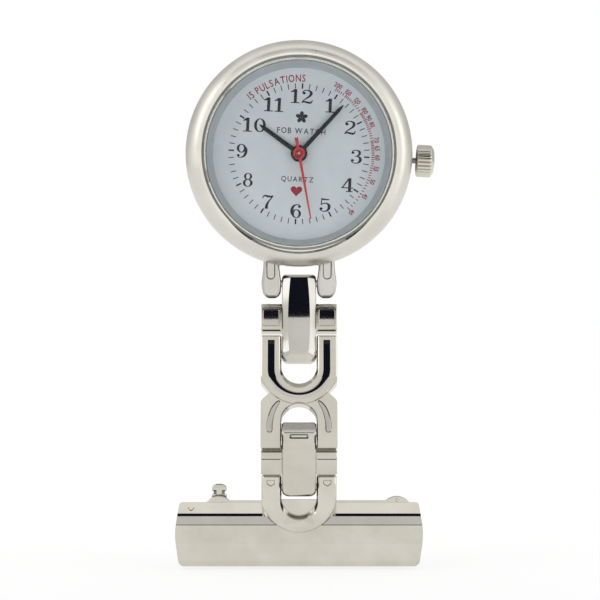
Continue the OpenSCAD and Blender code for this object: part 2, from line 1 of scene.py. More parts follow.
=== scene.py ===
"""Looks of the fob watch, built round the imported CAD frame.

Shapes are drawn in the watch's own axes in millimetres: x right, y up, z from the case back to the
glass. frame_point() turns them into the frame, where the dial faces -Y and +Z is up.
"""
from math import asin, atan2, cos, degrees, dist, hypot, pi, radians, sin, tan

import bmesh
import bpy
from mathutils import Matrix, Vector


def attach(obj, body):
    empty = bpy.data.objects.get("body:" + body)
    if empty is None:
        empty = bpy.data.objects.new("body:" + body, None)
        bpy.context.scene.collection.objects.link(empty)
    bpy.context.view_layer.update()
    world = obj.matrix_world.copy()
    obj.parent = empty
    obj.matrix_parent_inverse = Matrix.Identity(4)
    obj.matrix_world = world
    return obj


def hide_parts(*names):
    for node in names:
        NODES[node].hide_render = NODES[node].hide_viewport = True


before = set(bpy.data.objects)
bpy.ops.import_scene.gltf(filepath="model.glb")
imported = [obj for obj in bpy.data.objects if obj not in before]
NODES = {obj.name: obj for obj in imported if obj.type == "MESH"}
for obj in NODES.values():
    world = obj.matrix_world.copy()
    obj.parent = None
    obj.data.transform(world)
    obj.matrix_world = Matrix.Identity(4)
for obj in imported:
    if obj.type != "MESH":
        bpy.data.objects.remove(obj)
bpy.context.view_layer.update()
scene = bpy.context.scene


# ---------------------------------------------------------------- places taken from the CAD
def frame_point(q):
    return Vector((q[0], -q[2], q[1])) * 0.001


def node_points(node):
    return [(v.co.x * 1000, v.co.z * 1000, -v.co.y * 1000) for v in NODES[node].data.vertices]


def low_high(node):
    pts = node_points(node)
    return [min(p[i] for p in pts) for i in range(3)], [max(p[i] for p in pts) for i in range(3)]


def middle(node):
    lo, hi = low_high(node)
    return [(a + b) / 2 for a, b in zip(lo, hi)]


def bearing(node):
    """Angle of the node's farthest point round the watch's centre, clockwise from 12."""
    x, y, _ = max(node_points(node), key=lambda p: p[0] ** 2 + p[1] ** 2)
    return atan2(x, y)


PINS = [middle(n)[1:] for n in ("lug_pin", "link_pin_upper", "link_pin_lower", "brooch_link_pin")]
P1, P2, P3, P4 = PINS
LEAN_FRONT = atan2(P2[1] - P1[1], P1[0] - P2[0])
LEAN_BACK = atan2(P4[1] - P3[1], P3[0] - P4[0])
crown_c = middle("crown")
TURN = -atan2(crown_c[1], crown_c[0])
CASE_TOP = low_high("case_body")[1][2]
CASE_R = low_high("case_body")[1][1]
DIAL_TOP = low_high("dial")[1][2]
DIAL_R = low_high("dial")[1][1]
GLASS_LO, GLASS_HI = low_high("crystal")
GASKET_LO, GASKET_HI = low_high("crystal_gasket")


def mid(a, b):
    return [(a[0] + b[0]) / 2, (a[1] + b[1]) / 2]


def at_link(p, lean):
    """From the own axes of a link, with its middle at p, to the watch's."""
    c, s = cos(lean), sin(lean)
    return lambda q: (q[0], p[0] + q[1] * c + q[2] * s, p[1] - q[1] * s + q[2] * c)


def unlink(p, lean):
    """From the watch's axes back to a link's own."""
    c, s = cos(lean), sin(lean)
    return lambda q: (q[0], (q[1] - p[0]) * c - (q[2] - p[1]) * s, (q[1] - p[0]) * s + (q[2] - p[1]) * c)


def turned(a):
    """Turned clockwise by a."""
    c, s = cos(a), sin(a)
    return lambda q: (q[0] * c + q[1] * s, -q[0] * s + q[1] * c, q[2])


def on_stem(q):
    """The crown's own axis z runs out along the stem."""
    return turned(TURN)((q[2], q[1], crown_c[2] - q[0]))


def plain(q):
    return q


# ---------------------------------------------------------------- materials
def shader(name):
    m = bpy.data.materials.new(name)
    m.use_nodes = True
    nt = m.node_tree
    return m, nt, nt.nodes["Principled BSDF"]


def node(nt, kind, values={}, links={}):
    """A new shader node with its inputs set to values or fed by sockets."""
    n = nt.nodes.new("ShaderNode" + kind)
    for k, v in values.items():
        n.inputs[k].default_value = v
    for k, v in links.items():
        nt.links.new(v, n.inputs[k])
    return n


def coords(nt, stretch=(1, 1, 1)):
    where = node(nt, "TexCoord").outputs["Object"]
    return node(nt, "Mapping", {"Scale": stretch}, {"Vector": where}).outputs["Vector"]


def noise(nt, vec, scale, detail=3.0):
    values = {"Scale": scale, "Detail": detail, "Roughness": 0.55}
    return node(nt, "TexNoise", values, {"Vector": vec}).outputs["Fac"]


def spread(nt, fac, lo, hi, a=0.3, b=0.7):
    """The range a to b of fac, mapped to lo to hi."""
    return node(nt, "MapRange", {"From Min": a, "From Max": b, "To Min": lo, "To Max": hi},
                {"Value": fac}).outputs["Result"]


def tint(nt, fac, c0, c1):
    r = node(nt, "ValToRGB", {}, {"Fac": fac})
    for e, at, c in zip(r.color_ramp.elements, (0.35, 0.68), (c0, c1)):
        e.position, e.color = at, (*c, 1)
    return r.outputs["Color"]


def relief(nt, bsdf, height, depth, under=None):
    """Bumps as high as depth, on top of the bumps under them."""
    b = node(nt, "Bump", {"Distance": depth, "Strength": 1.0},
             {"Height": height, **({"Normal": under} if under else {})})
    nt.links.new(b.outputs["Normal"], bsdf.inputs["Normal"])
    return b.outputs["Normal"]


def metal(name, c0, c1, rough, grain=0.0, stretch=(1, 1, 1), scratch=3e-6):
    """Metal with cloudy polish, fine wear marks and, with grain, brushing along an axis."""
    m, nt, b = shader(name)
    v = coords(nt)
    cloud, fine = noise(nt, v, 260, 2), noise(nt, v, 2600, 4)
    nt.links.new(tint(nt, cloud, c0, c1), b.inputs["Base Color"])
    b.inputs["Metallic"].default_value = 1.0
    gloss = node(nt, "Math", {}, {0: spread(nt, cloud, rough * 0.75, rough * 1.25),
                                  1: spread(nt, fine, 0.0, rough * 0.35, 0.5, 0.75)})
    nt.links.new(gloss.outputs[0], b.inputs["Roughness"])
    wave = relief(nt, b, noise(nt, v, 420, 1), scratch * 3)
    if grain:
        wave = relief(nt, b, noise(nt, coords(nt, stretch), 3500, 4), grain, wave)
    relief(nt, b, noise(nt, v, 7000, 3), scratch * 0.25, wave)
    return m


def coating(name, c0, c1, rough, scale=900, bump=4e-6, coat=0.0, spec=0.5):
    """Paint, enamel, plastic or rubber: mottled colour and an uneven gloss."""
    m, nt, b = shader(name)
    v = coords(nt)
    cloud, fine = noise(nt, v, scale), noise(nt, v, scale * 7)
    nt.links.new(tint(nt, cloud, c0, c1), b.inputs["Base Color"])
    nt.links.new(spread(nt, fine, rough * 0.8, rough * 1.2), b.inputs["Roughness"])
    b.inputs["Specular IOR Level"].default_value = spec
    b.inputs["Coat Weight"].default_value = coat
    b.inputs["Coat Roughness"].default_value = 0.05
    relief(nt, b, fine, bump)
    return m


def glass(name):
    """Mineral glass that lets the lamps through to the dial."""
    m, nt, b = shader(name)
    nt.nodes.remove(b)
    clear = node(nt, "BsdfTransparent", {"Color": (0.975, 0.985, 0.985, 1)})
    smear = spread(nt, noise(nt, coords(nt), 180), 0.01, 0.05)
    gloss = node(nt, "BsdfGlossy", {"Color": (0.9, 0.95, 1.0, 1)}, {"Roughness": smear})
    mix = node(nt, "MixShader", {}, {0: node(nt, "Fresnel", {"IOR": 1.18}).outputs[0],
                                     1: clear.outputs[0], 2: gloss.outputs[0]})
    nt.links.new(mix.outputs[0], nt.nodes["Material Output"].inputs["Surface"])
    return m


NICKEL = metal("polished_nickel", (0.585, 0.56, 0.49), (0.64, 0.615, 0.545), 0.085)
SATIN = metal("satin_nickel", (0.64, 0.625, 0.57), (0.69, 0.675, 0.62), 0.34, 1.2e-6, (1, 1, 14))
FACET = metal("mirror_facet", (0.52, 0.50, 0.47), (0.57, 0.545, 0.515), 0.025, scratch=3e-7)
# painted shade: dark nickel on walls, gaps, creases and recess edges, in place of the shade and dark
# reflections there
DIM = metal("shaded_nickel", (0.17, 0.165, 0.135), (0.24, 0.232, 0.195), 0.16)
# painted shade: a darker nickel that tones down the lugs and bevels and greys recess floors, bands and
# chamfers
SHADED = metal("painted_shade_nickel", (0.46, 0.445, 0.41), (0.51, 0.495, 0.46), 0.14)
STEEL = metal("pin_steel", (0.50, 0.50, 0.50), (0.60, 0.60, 0.59), 0.20, 1.5e-6, (14, 1, 1))
DARK_STEEL = metal("stem_steel", (0.20, 0.19, 0.18), (0.27, 0.26, 0.24), 0.25, 1.5e-6, (14, 1, 1))
BRASS = metal("movement_brass", (0.72, 0.55, 0.27), (0.80, 0.64, 0.36), 0.24, 1.5e-6, (1, 9, 9))
WHEEL = metal("gilt_wheel", (0.76, 0.58, 0.25), (0.83, 0.66, 0.33), 0.2)
MOVEMENT_STEEL = metal("movement_steel", (0.46, 0.47, 0.49), (0.56, 0.57, 0.59), 0.22, 1.5e-6, (9, 1, 9))
COPPER = metal("coil_copper", (0.62, 0.27, 0.12), (0.80, 0.40, 0.20), 0.35, 8e-6, (60, 1, 1))
CELL = metal("cell_can", (0.60, 0.60, 0.61), (0.68, 0.68, 0.69), 0.16)
DIAL = coating("dial_enamel", (0.76, 0.795, 0.835), (0.80, 0.83, 0.865), 0.4, 420, 1.5e-6)
# the flange is grey paint made darker still, as painted shade under the case ring
FLANGE = coating("flange_paint_and_shade", (0.56, 0.585, 0.595), (0.62, 0.645, 0.655), 0.35, 500, 2e-6)
PRINT = coating("navy_print", (0.006, 0.008, 0.018), (0.012, 0.015, 0.03), 0.4, 2500, 2e-6)
RED_PRINT = coating("red_print", (0.34, 0.006, 0.026), (0.42, 0.012, 0.04), 0.4, 2500, 2e-6)
HAND_BLACK = coating("hand_black", (0.004, 0.005, 0.006), (0.009, 0.010, 0.012), 0.3, 1600, 2e-6, 0.12, 0.3)
HAND_RED = coating("hand_red", (0.62, 0.008, 0.016), (0.70, 0.014, 0.024), 0.28, 1600, 2e-6, 0.5)
HAND_RED_DARK = coating("hub_shade", (0.20, 0.004, 0.010), (0.26, 0.006, 0.012), 0.35, 1600, 2e-6)
SEAL = coating("glass_seal", (0.24, 0.245, 0.23), (0.29, 0.295, 0.275), 0.38, 1500, 3e-6)
RUBBER = coating("gasket_rubber", (0.012, 0.012, 0.013), (0.022, 0.022, 0.024), 0.6, 1500, 8e-6)
RING = coating("ring_plastic", (0.70, 0.69, 0.64), (0.78, 0.77, 0.72), 0.45, 900, 6e-6)
BOARD = coating("board_green", (0.010, 0.10, 0.035), (0.018, 0.15, 0.05), 0.35, 1500, 5e-6, 0.4)
CHIP = coating("chip_black", (0.008, 0.008, 0.009), (0.018, 0.018, 0.02), 0.4, 1800, 8e-6, 0.2)
GLASS = glass("watch_glass")


# ---------------------------------------------------------------- outlines
def arc(cx, cy, r, a0, a1, n):
    """Points on an arc, angles in degrees, anticlockwise from +x."""
    return [(cx + r * cos(radians(a0 + (a1 - a0) * k / n)),
             cy + r * sin(radians(a0 + (a1 - a0) * k / n))) for k in range(n + 1)]


def rounded(poly, r=0.0, n=6):
    """A closed polygon with its corners rounded by r, or by a corner's own third number."""
    out, m = [], len(poly)
    for i, p in enumerate(poly):
        rr = p[2] if len(p) > 2 else r
        b = Vector(p[:2])
        u, v = Vector(poly[i - 1][:2]) - b, Vector(poly[(i + 1) % m][:2]) - b
        room = 0.49 * min(u.length, v.length)
        u.normalize()
        v.normalize()
        ang = u.angle(v)
        if rr <= 0:
            out.append((b.x, b.y))
            continue
        if ang > radians(179.5):
            out += [tuple(b + u * (0.1 - 0.2 * k / n)) for k in range(n + 1)]
            continue
        t = min(rr / tan(ang / 2), room)
        rr = t * tan(ang / 2)
        c = b + (u + v).normalized() * (rr / sin(ang / 2))
        s, e = b + u * t - c, b + v * t - c
        a0 = atan2(s.y, s.x)
        da = (atan2(e.y, e.x) - a0 + pi) % (2 * pi) - pi
        out += [(c.x + rr * cos(a0 + da * k / n), c.y + rr * sin(a0 + da * k / n))
                for k in range(n + 1)]
    return out


def area(o):
    return sum(o[i - 1][0] * o[i][1] - o[i][0] * o[i - 1][1] for i in range(len(o))) / 2


def shrunk(outline, d):
    """The outline moved inwards by d."""
    if d == 0:
        return list(outline)
    sign, out, m = (1 if area(outline) > 0 else -1), [], len(outline)
    for i in range(m):
        p = Vector(outline[i])
        a = (p - Vector(outline[i - 1]))
        b = (Vector(outline[(i + 1) % m]) - p)
        na = Vector((-a.y, a.x)).normalized()
        nb = Vector((-b.y, b.x)).normalized()
        k = na + nb
        k = k / max(k.length_squared / 2, 0.25)
        out.append(tuple(p + k * (d * sign)))
    return out


# ---------------------------------------------------------------- solids
def stack(rings):
    """A solid through rings of the same number of points, closed at both ends."""
    n = len(rings[0])
    verts = [p for r in rings for p in r]
    faces = [(k * n + i, k * n + (i + 1) % n, (k + 1) * n + (i + 1) % n, (k + 1) * n + i)
             for k in range(len(rings) - 1) for i in range(n)]
    return verts, faces + [tuple(range(n)), tuple(range(len(verts) - n, len(verts)))]


def prism(outline, z0, z1):
    """The outline extruded from z0, which may be a function of (x, y), to z1."""
    floor = z0 if callable(z0) else lambda x, y: z0
    return stack([[(x, y, floor(x, y)) for x, y in outline], [(x, y, z1) for x, y in outline]])


def slab(outline, z0, z1, top=0.1, bottom=0.05, n=4):
    """A plate with rounded edges."""
    rings = []
    if bottom:
        rings += [[(x, y, z0 + bottom - bottom * cos(a)) for x, y in
                   shrunk(outline, bottom - bottom * sin(a))]
                  for a in [pi / 2 * k / n for k in range(n)]]
    rings.append([(x, y, z0 + bottom) for x, y in outline])
    rings.append([(x, y, z1 - top) for x, y in outline])
    if top:
        rings += [[(x, y, z1 - top + top * sin(a)) for x, y in
                   shrunk(outline, top - top * cos(a))]
                  for a in [pi / 2 * k / n for k in range(1, n + 1)]]
    return stack(rings)


def sloped(outline, z0, z1, grow):
    """Cutter for a recess whose walls lean out by grow from the floor at z0 to z1."""
    return stack([[(x, y, z0) for x, y in outline], [(x, y, z1) for x, y in shrunk(outline, -grow)]])


def lathe(profile, n=192):
    """A closed profile of (r, z) turned round z."""
    m, verts = len(profile), []
    for k in range(n):
        a = 2 * pi * k / n
        verts += [(r * cos(a), r * sin(a), z) for r, z in profile]
    faces = [(k * m + i, k * m + (i + 1) % m, (k + 1) % n * m + (i + 1) % m, (k + 1) % n * m + i)
             for k in range(n) for i in range(m)]
    return verts, faces


def plug(r, z0, z1, n=32):
    """A plain cylinder on the z axis."""
    return lathe([(0, z0), (r, z0), (r, z1), (0, z1)], n)


def moved(data, fn):
    return [fn(v) for v in data[0]], data[1]


def crosswise(data):
    """A solid drawn as [y, z, x]."""
    return moved(data, lambda v: (v[2], v[0], v[1]))


def upright(data):
    """A solid drawn as [x, z, y]."""
    return moved(data, lambda v: (v[0], v[2], v[1]))


def across(outline, x0, x1):
    """A [y, z] outline extruded along x."""
    return crosswise(prism(outline, x0, x1))


def rod(r, x0, x1, n=48, c=0.1):
    """A round bar along x with chamfered ends."""
    return crosswise(lathe([(0, x0), (r - c, x0), (r, x0 + c), (r, x1 - c), (r - c, x1), (0, x1)], n))


def joined(parts):
    verts, faces = [], []
    for v, f in parts:
        k = len(verts)
        verts += v
        faces += [tuple(i + k for i in q) for q in f]
    return verts, faces


def body_mesh(name, data, at=plain):
    """A closed mesh object in the frame."""
    bm = bmesh.new()
    vs = [bm.verts.new(frame_point(at(v))) for v in data[0]]
    for f in data[1]:
        if len(set(f)) > 2:
            try:
                bm.faces.new([vs[i] for i in f])
            except ValueError:
                pass
    bmesh.ops.remove_doubles(bm, verts=bm.verts, dist=1e-7)
    bmesh.ops.delete(bm, geom=[e for e in bm.edges if not e.link_faces], context="EDGES")
    bmesh.ops.recalc_face_normals(bm, faces=bm.faces)
    bmesh.ops.triangulate(bm, faces=[f for f in bm.faces if len(f.verts) > 4], ngon_method="EAR_CLIP")
    me = bpy.data.meshes.new(name)
    bm.to_mesh(me)
    bm.free()
    ob = bpy.data.objects.new(name, me)
    scene.collection.objects.link(ob)
    return ob


def applied(ob):
    dg = bpy.context.evaluated_depsgraph_get()
    me = bpy.data.meshes.new_from_object(ob.evaluated_get(dg), preserve_all_data_layers=True, depsgraph=dg)
    old = ob.data
    ob.modifiers.clear()
    ob.data = me
    bpy.data.meshes.remove(old)
    return ob


def combine(ob, other, how="UNION"):
    mod = ob.modifiers.new("cut", "BOOLEAN")
    mod.operation, mod.solver, mod.object = how, "MANIFOLD", other
    applied(ob)
    bpy.data.objects.remove(other)
    return ob


def cut(ob, data, at=plain):
    return combine(ob, body_mesh("cutter", data, at), "DIFFERENCE")


def common(ob, data, at=plain):
    return combine(ob, body_mesh("limit", data, at), "INTERSECT")


def fused(ob, data, at=plain):
    return combine(ob, body_mesh("extra", data, at))


def drill(ob, r, z0, z1, at=plain, n=32):
    """A round hole along z."""
    return cut(ob, plug(r, z0, z1, n), at)


def hinge_bore(ob, at, y=0.0, r=0.51):
    """The hole of a hinge, along x."""
    return cut(ob, rod(r, -6, 6), lambda q: at((q[0], q[1] + y, q[2])))


def softened(ob, width):
    """Every edge sharper than 40 degrees bevelled by width."""
    bm = bmesh.new()
    bm.from_mesh(ob.data)
    bmesh.ops.remove_doubles(bm, verts=bm.verts, dist=2e-6)
    bmesh.ops.dissolve_limit(bm, angle_limit=radians(1.0), verts=bm.verts, edges=bm.edges)
    bm.to_mesh(ob.data)
    bm.free()
    mod = ob.modifiers.new("edge", "BEVEL")
    mod.width, mod.segments, mod.limit_method = width * 0.001, 2, "ANGLE"
    mod.angle_limit, mod.miter_outer = radians(40), "MITER_ARC"
    return applied(ob)


def shade(ob, angle=34):
    """Smooth shading that keeps flat faces flat and breaks at sharp edges."""
    bm = bmesh.new()
    bm.from_mesh(ob.data)
    bmesh.ops.dissolve_degenerate(bm, dist=5e-7, edges=bm.edges)
    bmesh.ops.delete(bm, geom=[e for e in bm.edges if not e.link_faces], context="EDGES")
    for f in bm.faces:
        f.smooth = True
    for e in bm.edges:
        e.smooth = len(e.link_faces) == 2 and e.calc_face_angle(4) <= radians(angle)
    bm.to_mesh(ob.data)
    bm.free()
    mod = ob.modifiers.new("flat", "WEIGHTED_NORMAL")
    mod.keep_sharp, mod.weight = True, 60
    return applied(ob)


def piece(ob, mats, body, slot, *nodes, angle=34):
    """Finish a piece: shading, material, the body it rides on and the CAD nodes it stands for."""
    shade(ob, angle)
    mats = mats if isinstance(mats, (list, tuple)) else [mats]
    ob.data.materials.clear()
    for m in mats:
        ob.data.materials.append(m)
    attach(ob, body)
    if nodes:
        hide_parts(*nodes)
    return ob


def painted(ob, test, index):
    """Faces whose centre and normal, in the watch's axes, pass the test take another material."""
    for f in ob.data.polygons:
        c, n = f.center * 1000, f.normal
        if test((c.x, c.z, -c.y), (n.x, n.z, -n.y)):
            f.material_index = index
    return ob


# ---------------------------------------------------------------- case
lug_y, lug_z = P1
LUG_R = 1.15                      # half thickness of a lug
LUG_TIP = 1.96                    # lug beyond its pin
LUG_IN = 2.35                     # inner face of a lug
CHAIN_HALF = 5.0                  # half width of the chain

SEAL_TOP, DOME_R, DOME_Z = GASKET_HI[2], 12.95, 5.5   # the ring's dome runs from DOME_Z up and in to DOME_R
case_profile = (
    rounded([(12.2, 1.1), (13.8, 1.1, 0.1), (CASE_R - 0.4, 1.9, 0.4), (CASE_R, 3.2, 1.2),
             (CASE_R, DOME_Z, 0)], 0, 8)
    + [(DOME_R + (CASE_R - DOME_R) * x, DOME_Z + (CASE_TOP - DOME_Z) * z) for x, z in arc(0, 0, 1, 4, 94, 28)]
    + [(12.82, SEAL_TOP + 0.02), (DOME_R, SEAL_TOP + 0.02), (DOME_R, 6.9), (12.32, 6.9), (12.2, 6.6)])
case = body_mesh("case_shell", lathe(case_profile, 256))
# worn ledge inside the lower edge of the ring
LEDGE_Y, LEDGE_R, ledge_z = -1.54, 11.81, SEAL_TOP + 0.05
cut(case, stack([
    [(x, y, ledge_z) for x, y in arc(0, LEDGE_Y, LEDGE_R - 0.83 * (CASE_TOP - ledge_z), 0, 358, 179)],
    [(x, y, CASE_TOP + 0.05) for x, y in arc(0, LEDGE_Y, LEDGE_R + 0.05, 0, 358, 179)]]))
LUG_END, LUG_TOP = lug_y - LUG_TIP, lug_z + LUG_R
lug_side = rounded([(-13.4, 2.1), (-15.9, lug_z - LUG_R), (LUG_END, lug_z - LUG_R, 1.0),
                    (LUG_END, LUG_TOP, 0.5), (-13.4, LUG_TOP)], 0, 8)
for s in (-1, 1):
    plan = rounded([(s * 2.66, -12.6), (s * 2.6, -15.2, 3), (s * LUG_IN, -17.2, 3), (s * 2.5, LUG_END, 0.95),
                    (s * 4.7, LUG_END, 1.35), (s * CHAIN_HALF, -17.2, 3), (s * 4.74, -15.2, 3),
                    (s * 4.64, -12.6)], 0, 10)
    lug = body_mesh("lug", slab(plan, 0, LUG_TOP, 0.4, 0, 7))
    common(lug, across(lug_side, s * 2.2, s * 5.2))
    window = rounded([(s * 3.3, -13.9), (s * 3.3, -16.5, 0.48), (s * 4.16, -16.5, 0.48),
                      (s * 4.2, -13.9)], 0, 8)
    cut(lug, sloped(window, LUG_TOP - 0.3, LUG_TOP + 0.1, 0.2))
    case = combine(case, lug)
hinge_bore(case, at_link(P1, 0))
case.name = "case_shell"
piece(case, [SATIN, NICKEL, DIM, SHADED], "head", "nickel_plate", "case_body", angle=24)
painted(case, lambda c, n: hypot(c[0], c[1]) < 13.0 and c[2] > 6.8, 1)
# painted shade: the lugs take the darker nickel to tone them down; their inner faces and recess walls take
# the dark nickel
painted(case, lambda c, n: c[1] < -14.6 and abs(c[0]) < 5.1 and hypot(c[0], c[1]) > 14.9, 3)
painted(case, lambda c, n: c[1] < -14.5 and abs(c[0]) < 2.7 and abs(n[0]) > 0.8, 2)
painted(case, lambda c, n: c[1] < -14.5 and 3.1 < abs(c[0]) < 4.4 and 0.02 < LUG_TOP - c[2] < 0.29, 2)

flange = rounded([(DIAL_R - 0.6, DIAL_TOP + 0.01), (12.24, DIAL_TOP + 0.01), (12.24, 6.88, 0.03),
                  (12.12, 6.88, 0.06), (DIAL_R - 0.6, DIAL_TOP + 0.2, 0.05)], 0, 4)
piece(body_mesh("flange_ring", lathe(flange, 256)), FLANGE, "head", "dial_enamel")

r, z0, z1 = GLASS_HI[0], GLASS_LO[2], GLASS_HI[2]
glass_profile = [(0, z0), (r - 0.02, z0), (r, z0 + 0.02), (r, z1 - 0.24), (r - 0.2, z1 - 0.03),
                 (r - 0.32, z1), (0, z1)]
piece(body_mesh("glass", lathe(glass_profile, 256)), GLASS, "head", "watch_glass", "crystal", angle=20)
seal_profile = rounded([(12.53, GASKET_LO[2]), (GASKET_HI[0], GASKET_LO[2]), (GASKET_HI[0], SEAL_TOP, 0.1),
                        (12.53, SEAL_TOP - 0.02, 0.12)], 0, 5)
piece(body_mesh("glass_seal", lathe(seal_profile, 256)), SEAL, "head", "gasket_rubber", "crystal_gasket")

# snap back: a turned shape with a stepped rim, satin finished
back_profile = rounded([(0, 0), (11.2, 0, 0.25), (12.9, 0.35, 0.3), (13.7, 1.0, 0.15), (13.7, 1.1),
                        (11.85, 1.1), (11.85, 2.0), (11.3, 2.0), (11.3, 0.6), (0, 0.6)], 0, 6)
back = body_mesh("snap_back", lathe(back_profile, 192))
piece(back, SATIN, "head", "nickel_plate", "case_back", angle=30)

# crown: fluted band, chamfered cap and a collar towards the case
crown_lo, crown_hi = low_high("crown")
along_x = [p[0] * cos(TURN) - p[1] * sin(TURN) for p in node_points("crown")]
CROWN_X0, CROWN_X1, CROWN_R = min(along_x), max(along_x), (crown_hi[2] - crown_lo[2]) / 2
FLUTES = 26


def crown_rings():
    """Rings of (height, radius, depth of the flutes) from the case outwards."""
    high, full, n = CROWN_X1 - CROWN_X0, CROWN_R, FLUTES * 12
    steps = [(0.0, full - 0.32, 0.0), (0.03, full - 0.22, 0.02), (0.12, full - 0.04, 0.15),
             (0.22, full, 0.24), (high - 0.62, full, 0.24), (high - 0.5, full - 0.03, 0.14),
             (high - 0.42, full - 0.12, 0.0),
             (high - 0.2, full - 0.42, 0.0), (high - 0.06, full - 0.75, 0.0), (high, full - 1.3, 0.0)]
    angles = [2 * pi * k / n for k in range(n)]
    rings = []
    for z, r, depth in steps:
        radii = [r - depth * (0.5 - 0.5 * cos(FLUTES * a)) ** 5 for a in angles]
        rings.append([(rr * cos(a), rr * sin(a), CROWN_X0 + z) for rr, a in zip(radii, angles)])
    return rings


crown = body_mesh("fluted_crown", stack(crown_rings()), on_stem)
hollow = rounded([(0, CROWN_X0 - 1), (1.5, CROWN_X0 - 1), (1.5, CROWN_X0 + 0.6), (0, CROWN_X0 + 0.6)], 0)
cut(crown, lathe(hollow, 64), on_stem)
piece(crown, NICKEL, "winder", "nickel_plate", "crown", angle=40)


# ---------------------------------------------------------------- dial
def stroke(path, n=7):
    """A strip of changing width along a smooth path of (x, y, width)."""
    pts, m = [], len(path)
    for i in range(m - 1):
        a, b, c, d = path[max(i - 1, 0)], path[i], path[i + 1], path[min(i + 2, m - 1)]
        for k in range(n):
            t = k / n
            pts.append([0.5 * (2 * b[j] + (c[j] - a[j]) * t + (2 * a[j] - 5 * b[j] + 4 * c[j] - d[j]) * t * t
                               + (3 * b[j] - a[j] - 3 * c[j] + d[j]) * t ** 3) for j in range(3)])
    pts.append(list(path[-1]))
    left, right = [], []
    for i, p in enumerate(pts):
        q, r = pts[max(i - 1, 0)], pts[min(i + 1, len(pts) - 1)]
        t = Vector((r[0] - q[0], r[1] - q[1])).normalized()
        w = max(p[2], 0.01) / 2
        left.append((p[0] - t.y * w, p[1] + t.x * w))
        right.append((p[0] + t.y * w, p[1] - t.x * w))
    return left + right[::-1]


def blob(x, y, r, n=14):
    return arc(x, y, r, 0, 360 - 360 / n, n - 1)


def oval(x, y, a, b, wa, wb, n=36):
    """An oval ring, wa wide at its sides and wb at its top, as two halves."""
    halves = []
    for s in (0, 1):
        angs = [pi * (s + k / (n / 2)) for k in range(n // 2 + 1)]
        outer = [(x + a * cos(t), y + b * sin(t)) for t in angs]
        inner = [(x + (a - wa) * cos(t), y + (b - wb) * sin(t)) for t in angs]
        halves.append(outer + inner[::-1])
    return halves


def bar(x0, y0, x1, y1):
    return [(x0, y0), (x1, y0), (x1, y1), (x0, y1)]


# Slab serif figures of height 1, centred on the origin
FIGURES = {
    "0": oval(0, 0, 0.33, 0.5, 0.155, 0.06),
    "1": [bar(-0.085, -0.46, 0.085, 0.5), bar(-0.25, -0.5, 0.25, -0.43),
          [(-0.27, 0.33), (-0.27, 0.27), (-0.08, 0.30), (-0.08, 0.5), (-0.02, 0.5)]],
    "2": [blob(-0.19, 0.25, 0.095),
          stroke([(-0.27, 0.26, 0.05), (-0.2, 0.41, 0.06), (-0.02, 0.465, 0.07), (0.17, 0.38, 0.13),
                  (0.215, 0.22, 0.16), (0.13, 0.04, 0.13), (-0.06, -0.14, 0.08), (-0.22, -0.30, 0.06),
                  (-0.29, -0.47, 0.06)]),
          stroke([(-0.30, -0.44, 0.07), (-0.17, -0.37, 0.11), (0.0, -0.40, 0.14), (0.17, -0.43, 0.14),
                  (0.26, -0.36, 0.08), (0.30, -0.22, 0.05)])],
    "3": [blob(-0.2, 0.28, 0.085), blob(-0.21, -0.27, 0.09),
          stroke([(-0.26, 0.30, 0.04), (-0.19, 0.42, 0.06), (-0.01, 0.465, 0.065), (0.16, 0.38, 0.13),
                  (0.17, 0.18, 0.14), (0.04, 0.05, 0.07), (-0.08, 0.03, 0.05)]),
          stroke([(-0.08, 0.035, 0.05), (0.06, 0.02, 0.07), (0.21, -0.08, 0.14), (0.225, -0.28, 0.16),
                  (0.13, -0.42, 0.1), (-0.03, -0.468, 0.06), (-0.2, -0.42, 0.055), (-0.28, -0.29, 0.04)])],
    "4": [bar(0.06, -0.46, 0.225, 0.5), bar(-0.05, -0.5, 0.33, -0.435), bar(-0.33, -0.235, 0.35, -0.165),
          [(-0.33, -0.235), (-0.25, -0.235), (0.12, 0.42), (0.12, 0.5), (0.06, 0.5)]],
    "5": [[(-0.24, 0.48), (-0.2, 0.47), (0.2, 0.43), (0.25, 0.5), (0.2, 0.34), (-0.2, 0.35), (-0.24, 0.36)],
          bar(-0.24, -0.02, -0.185, 0.47), blob(-0.22, -0.28, 0.09),
          stroke([(-0.23, -0.01, 0.05), (-0.12, 0.09, 0.07), (0.05, 0.12, 0.08), (0.2, 0.02, 0.14),
                  (0.23, -0.17, 0.165), (0.16, -0.37, 0.12), (-0.02, -0.465, 0.065), (-0.2, -0.42, 0.055),
                  (-0.29, -0.30, 0.04)])],
    "6": oval(0.02, -0.185, 0.27, 0.315, 0.14, 0.055) + [
        blob(0.18, 0.33, 0.085),
        stroke([(0.25, 0.34, 0.04), (0.16, 0.45, 0.055), (0.02, 0.465, 0.065), (-0.14, 0.37, 0.12),
                (-0.23, 0.15, 0.155), (-0.245, -0.08, 0.155), (-0.2, -0.26, 0.14)])],
    "7": [stroke([(-0.29, 0.24, 0.05), (-0.27, 0.38, 0.06), (-0.17, 0.44, 0.12), (0.0, 0.405, 0.14),
                  (0.16, 0.39, 0.13), (0.27, 0.47, 0.07)]),
          stroke([(0.29, 0.47, 0.06), (0.18, 0.26, 0.07), (0.06, 0.06, 0.09), (-0.04, -0.18, 0.14),
                  (-0.07, -0.49, 0.18)])],
    "8": oval(0, 0.25, 0.23, 0.25, 0.12, 0.05) + oval(0, -0.215, 0.275, 0.285, 0.14, 0.055),
}
FIGURES["9"] = [[(-x, -y) for x, y in part] for part in FIGURES["6"]]
WIDTH = {"1": 0.60, "0": 0.78}
INK = 0.018                      # height of the print above the dial
PRINT_LOW = DIAL_TOP - 0.002     # underside of the print, just inside the enamel


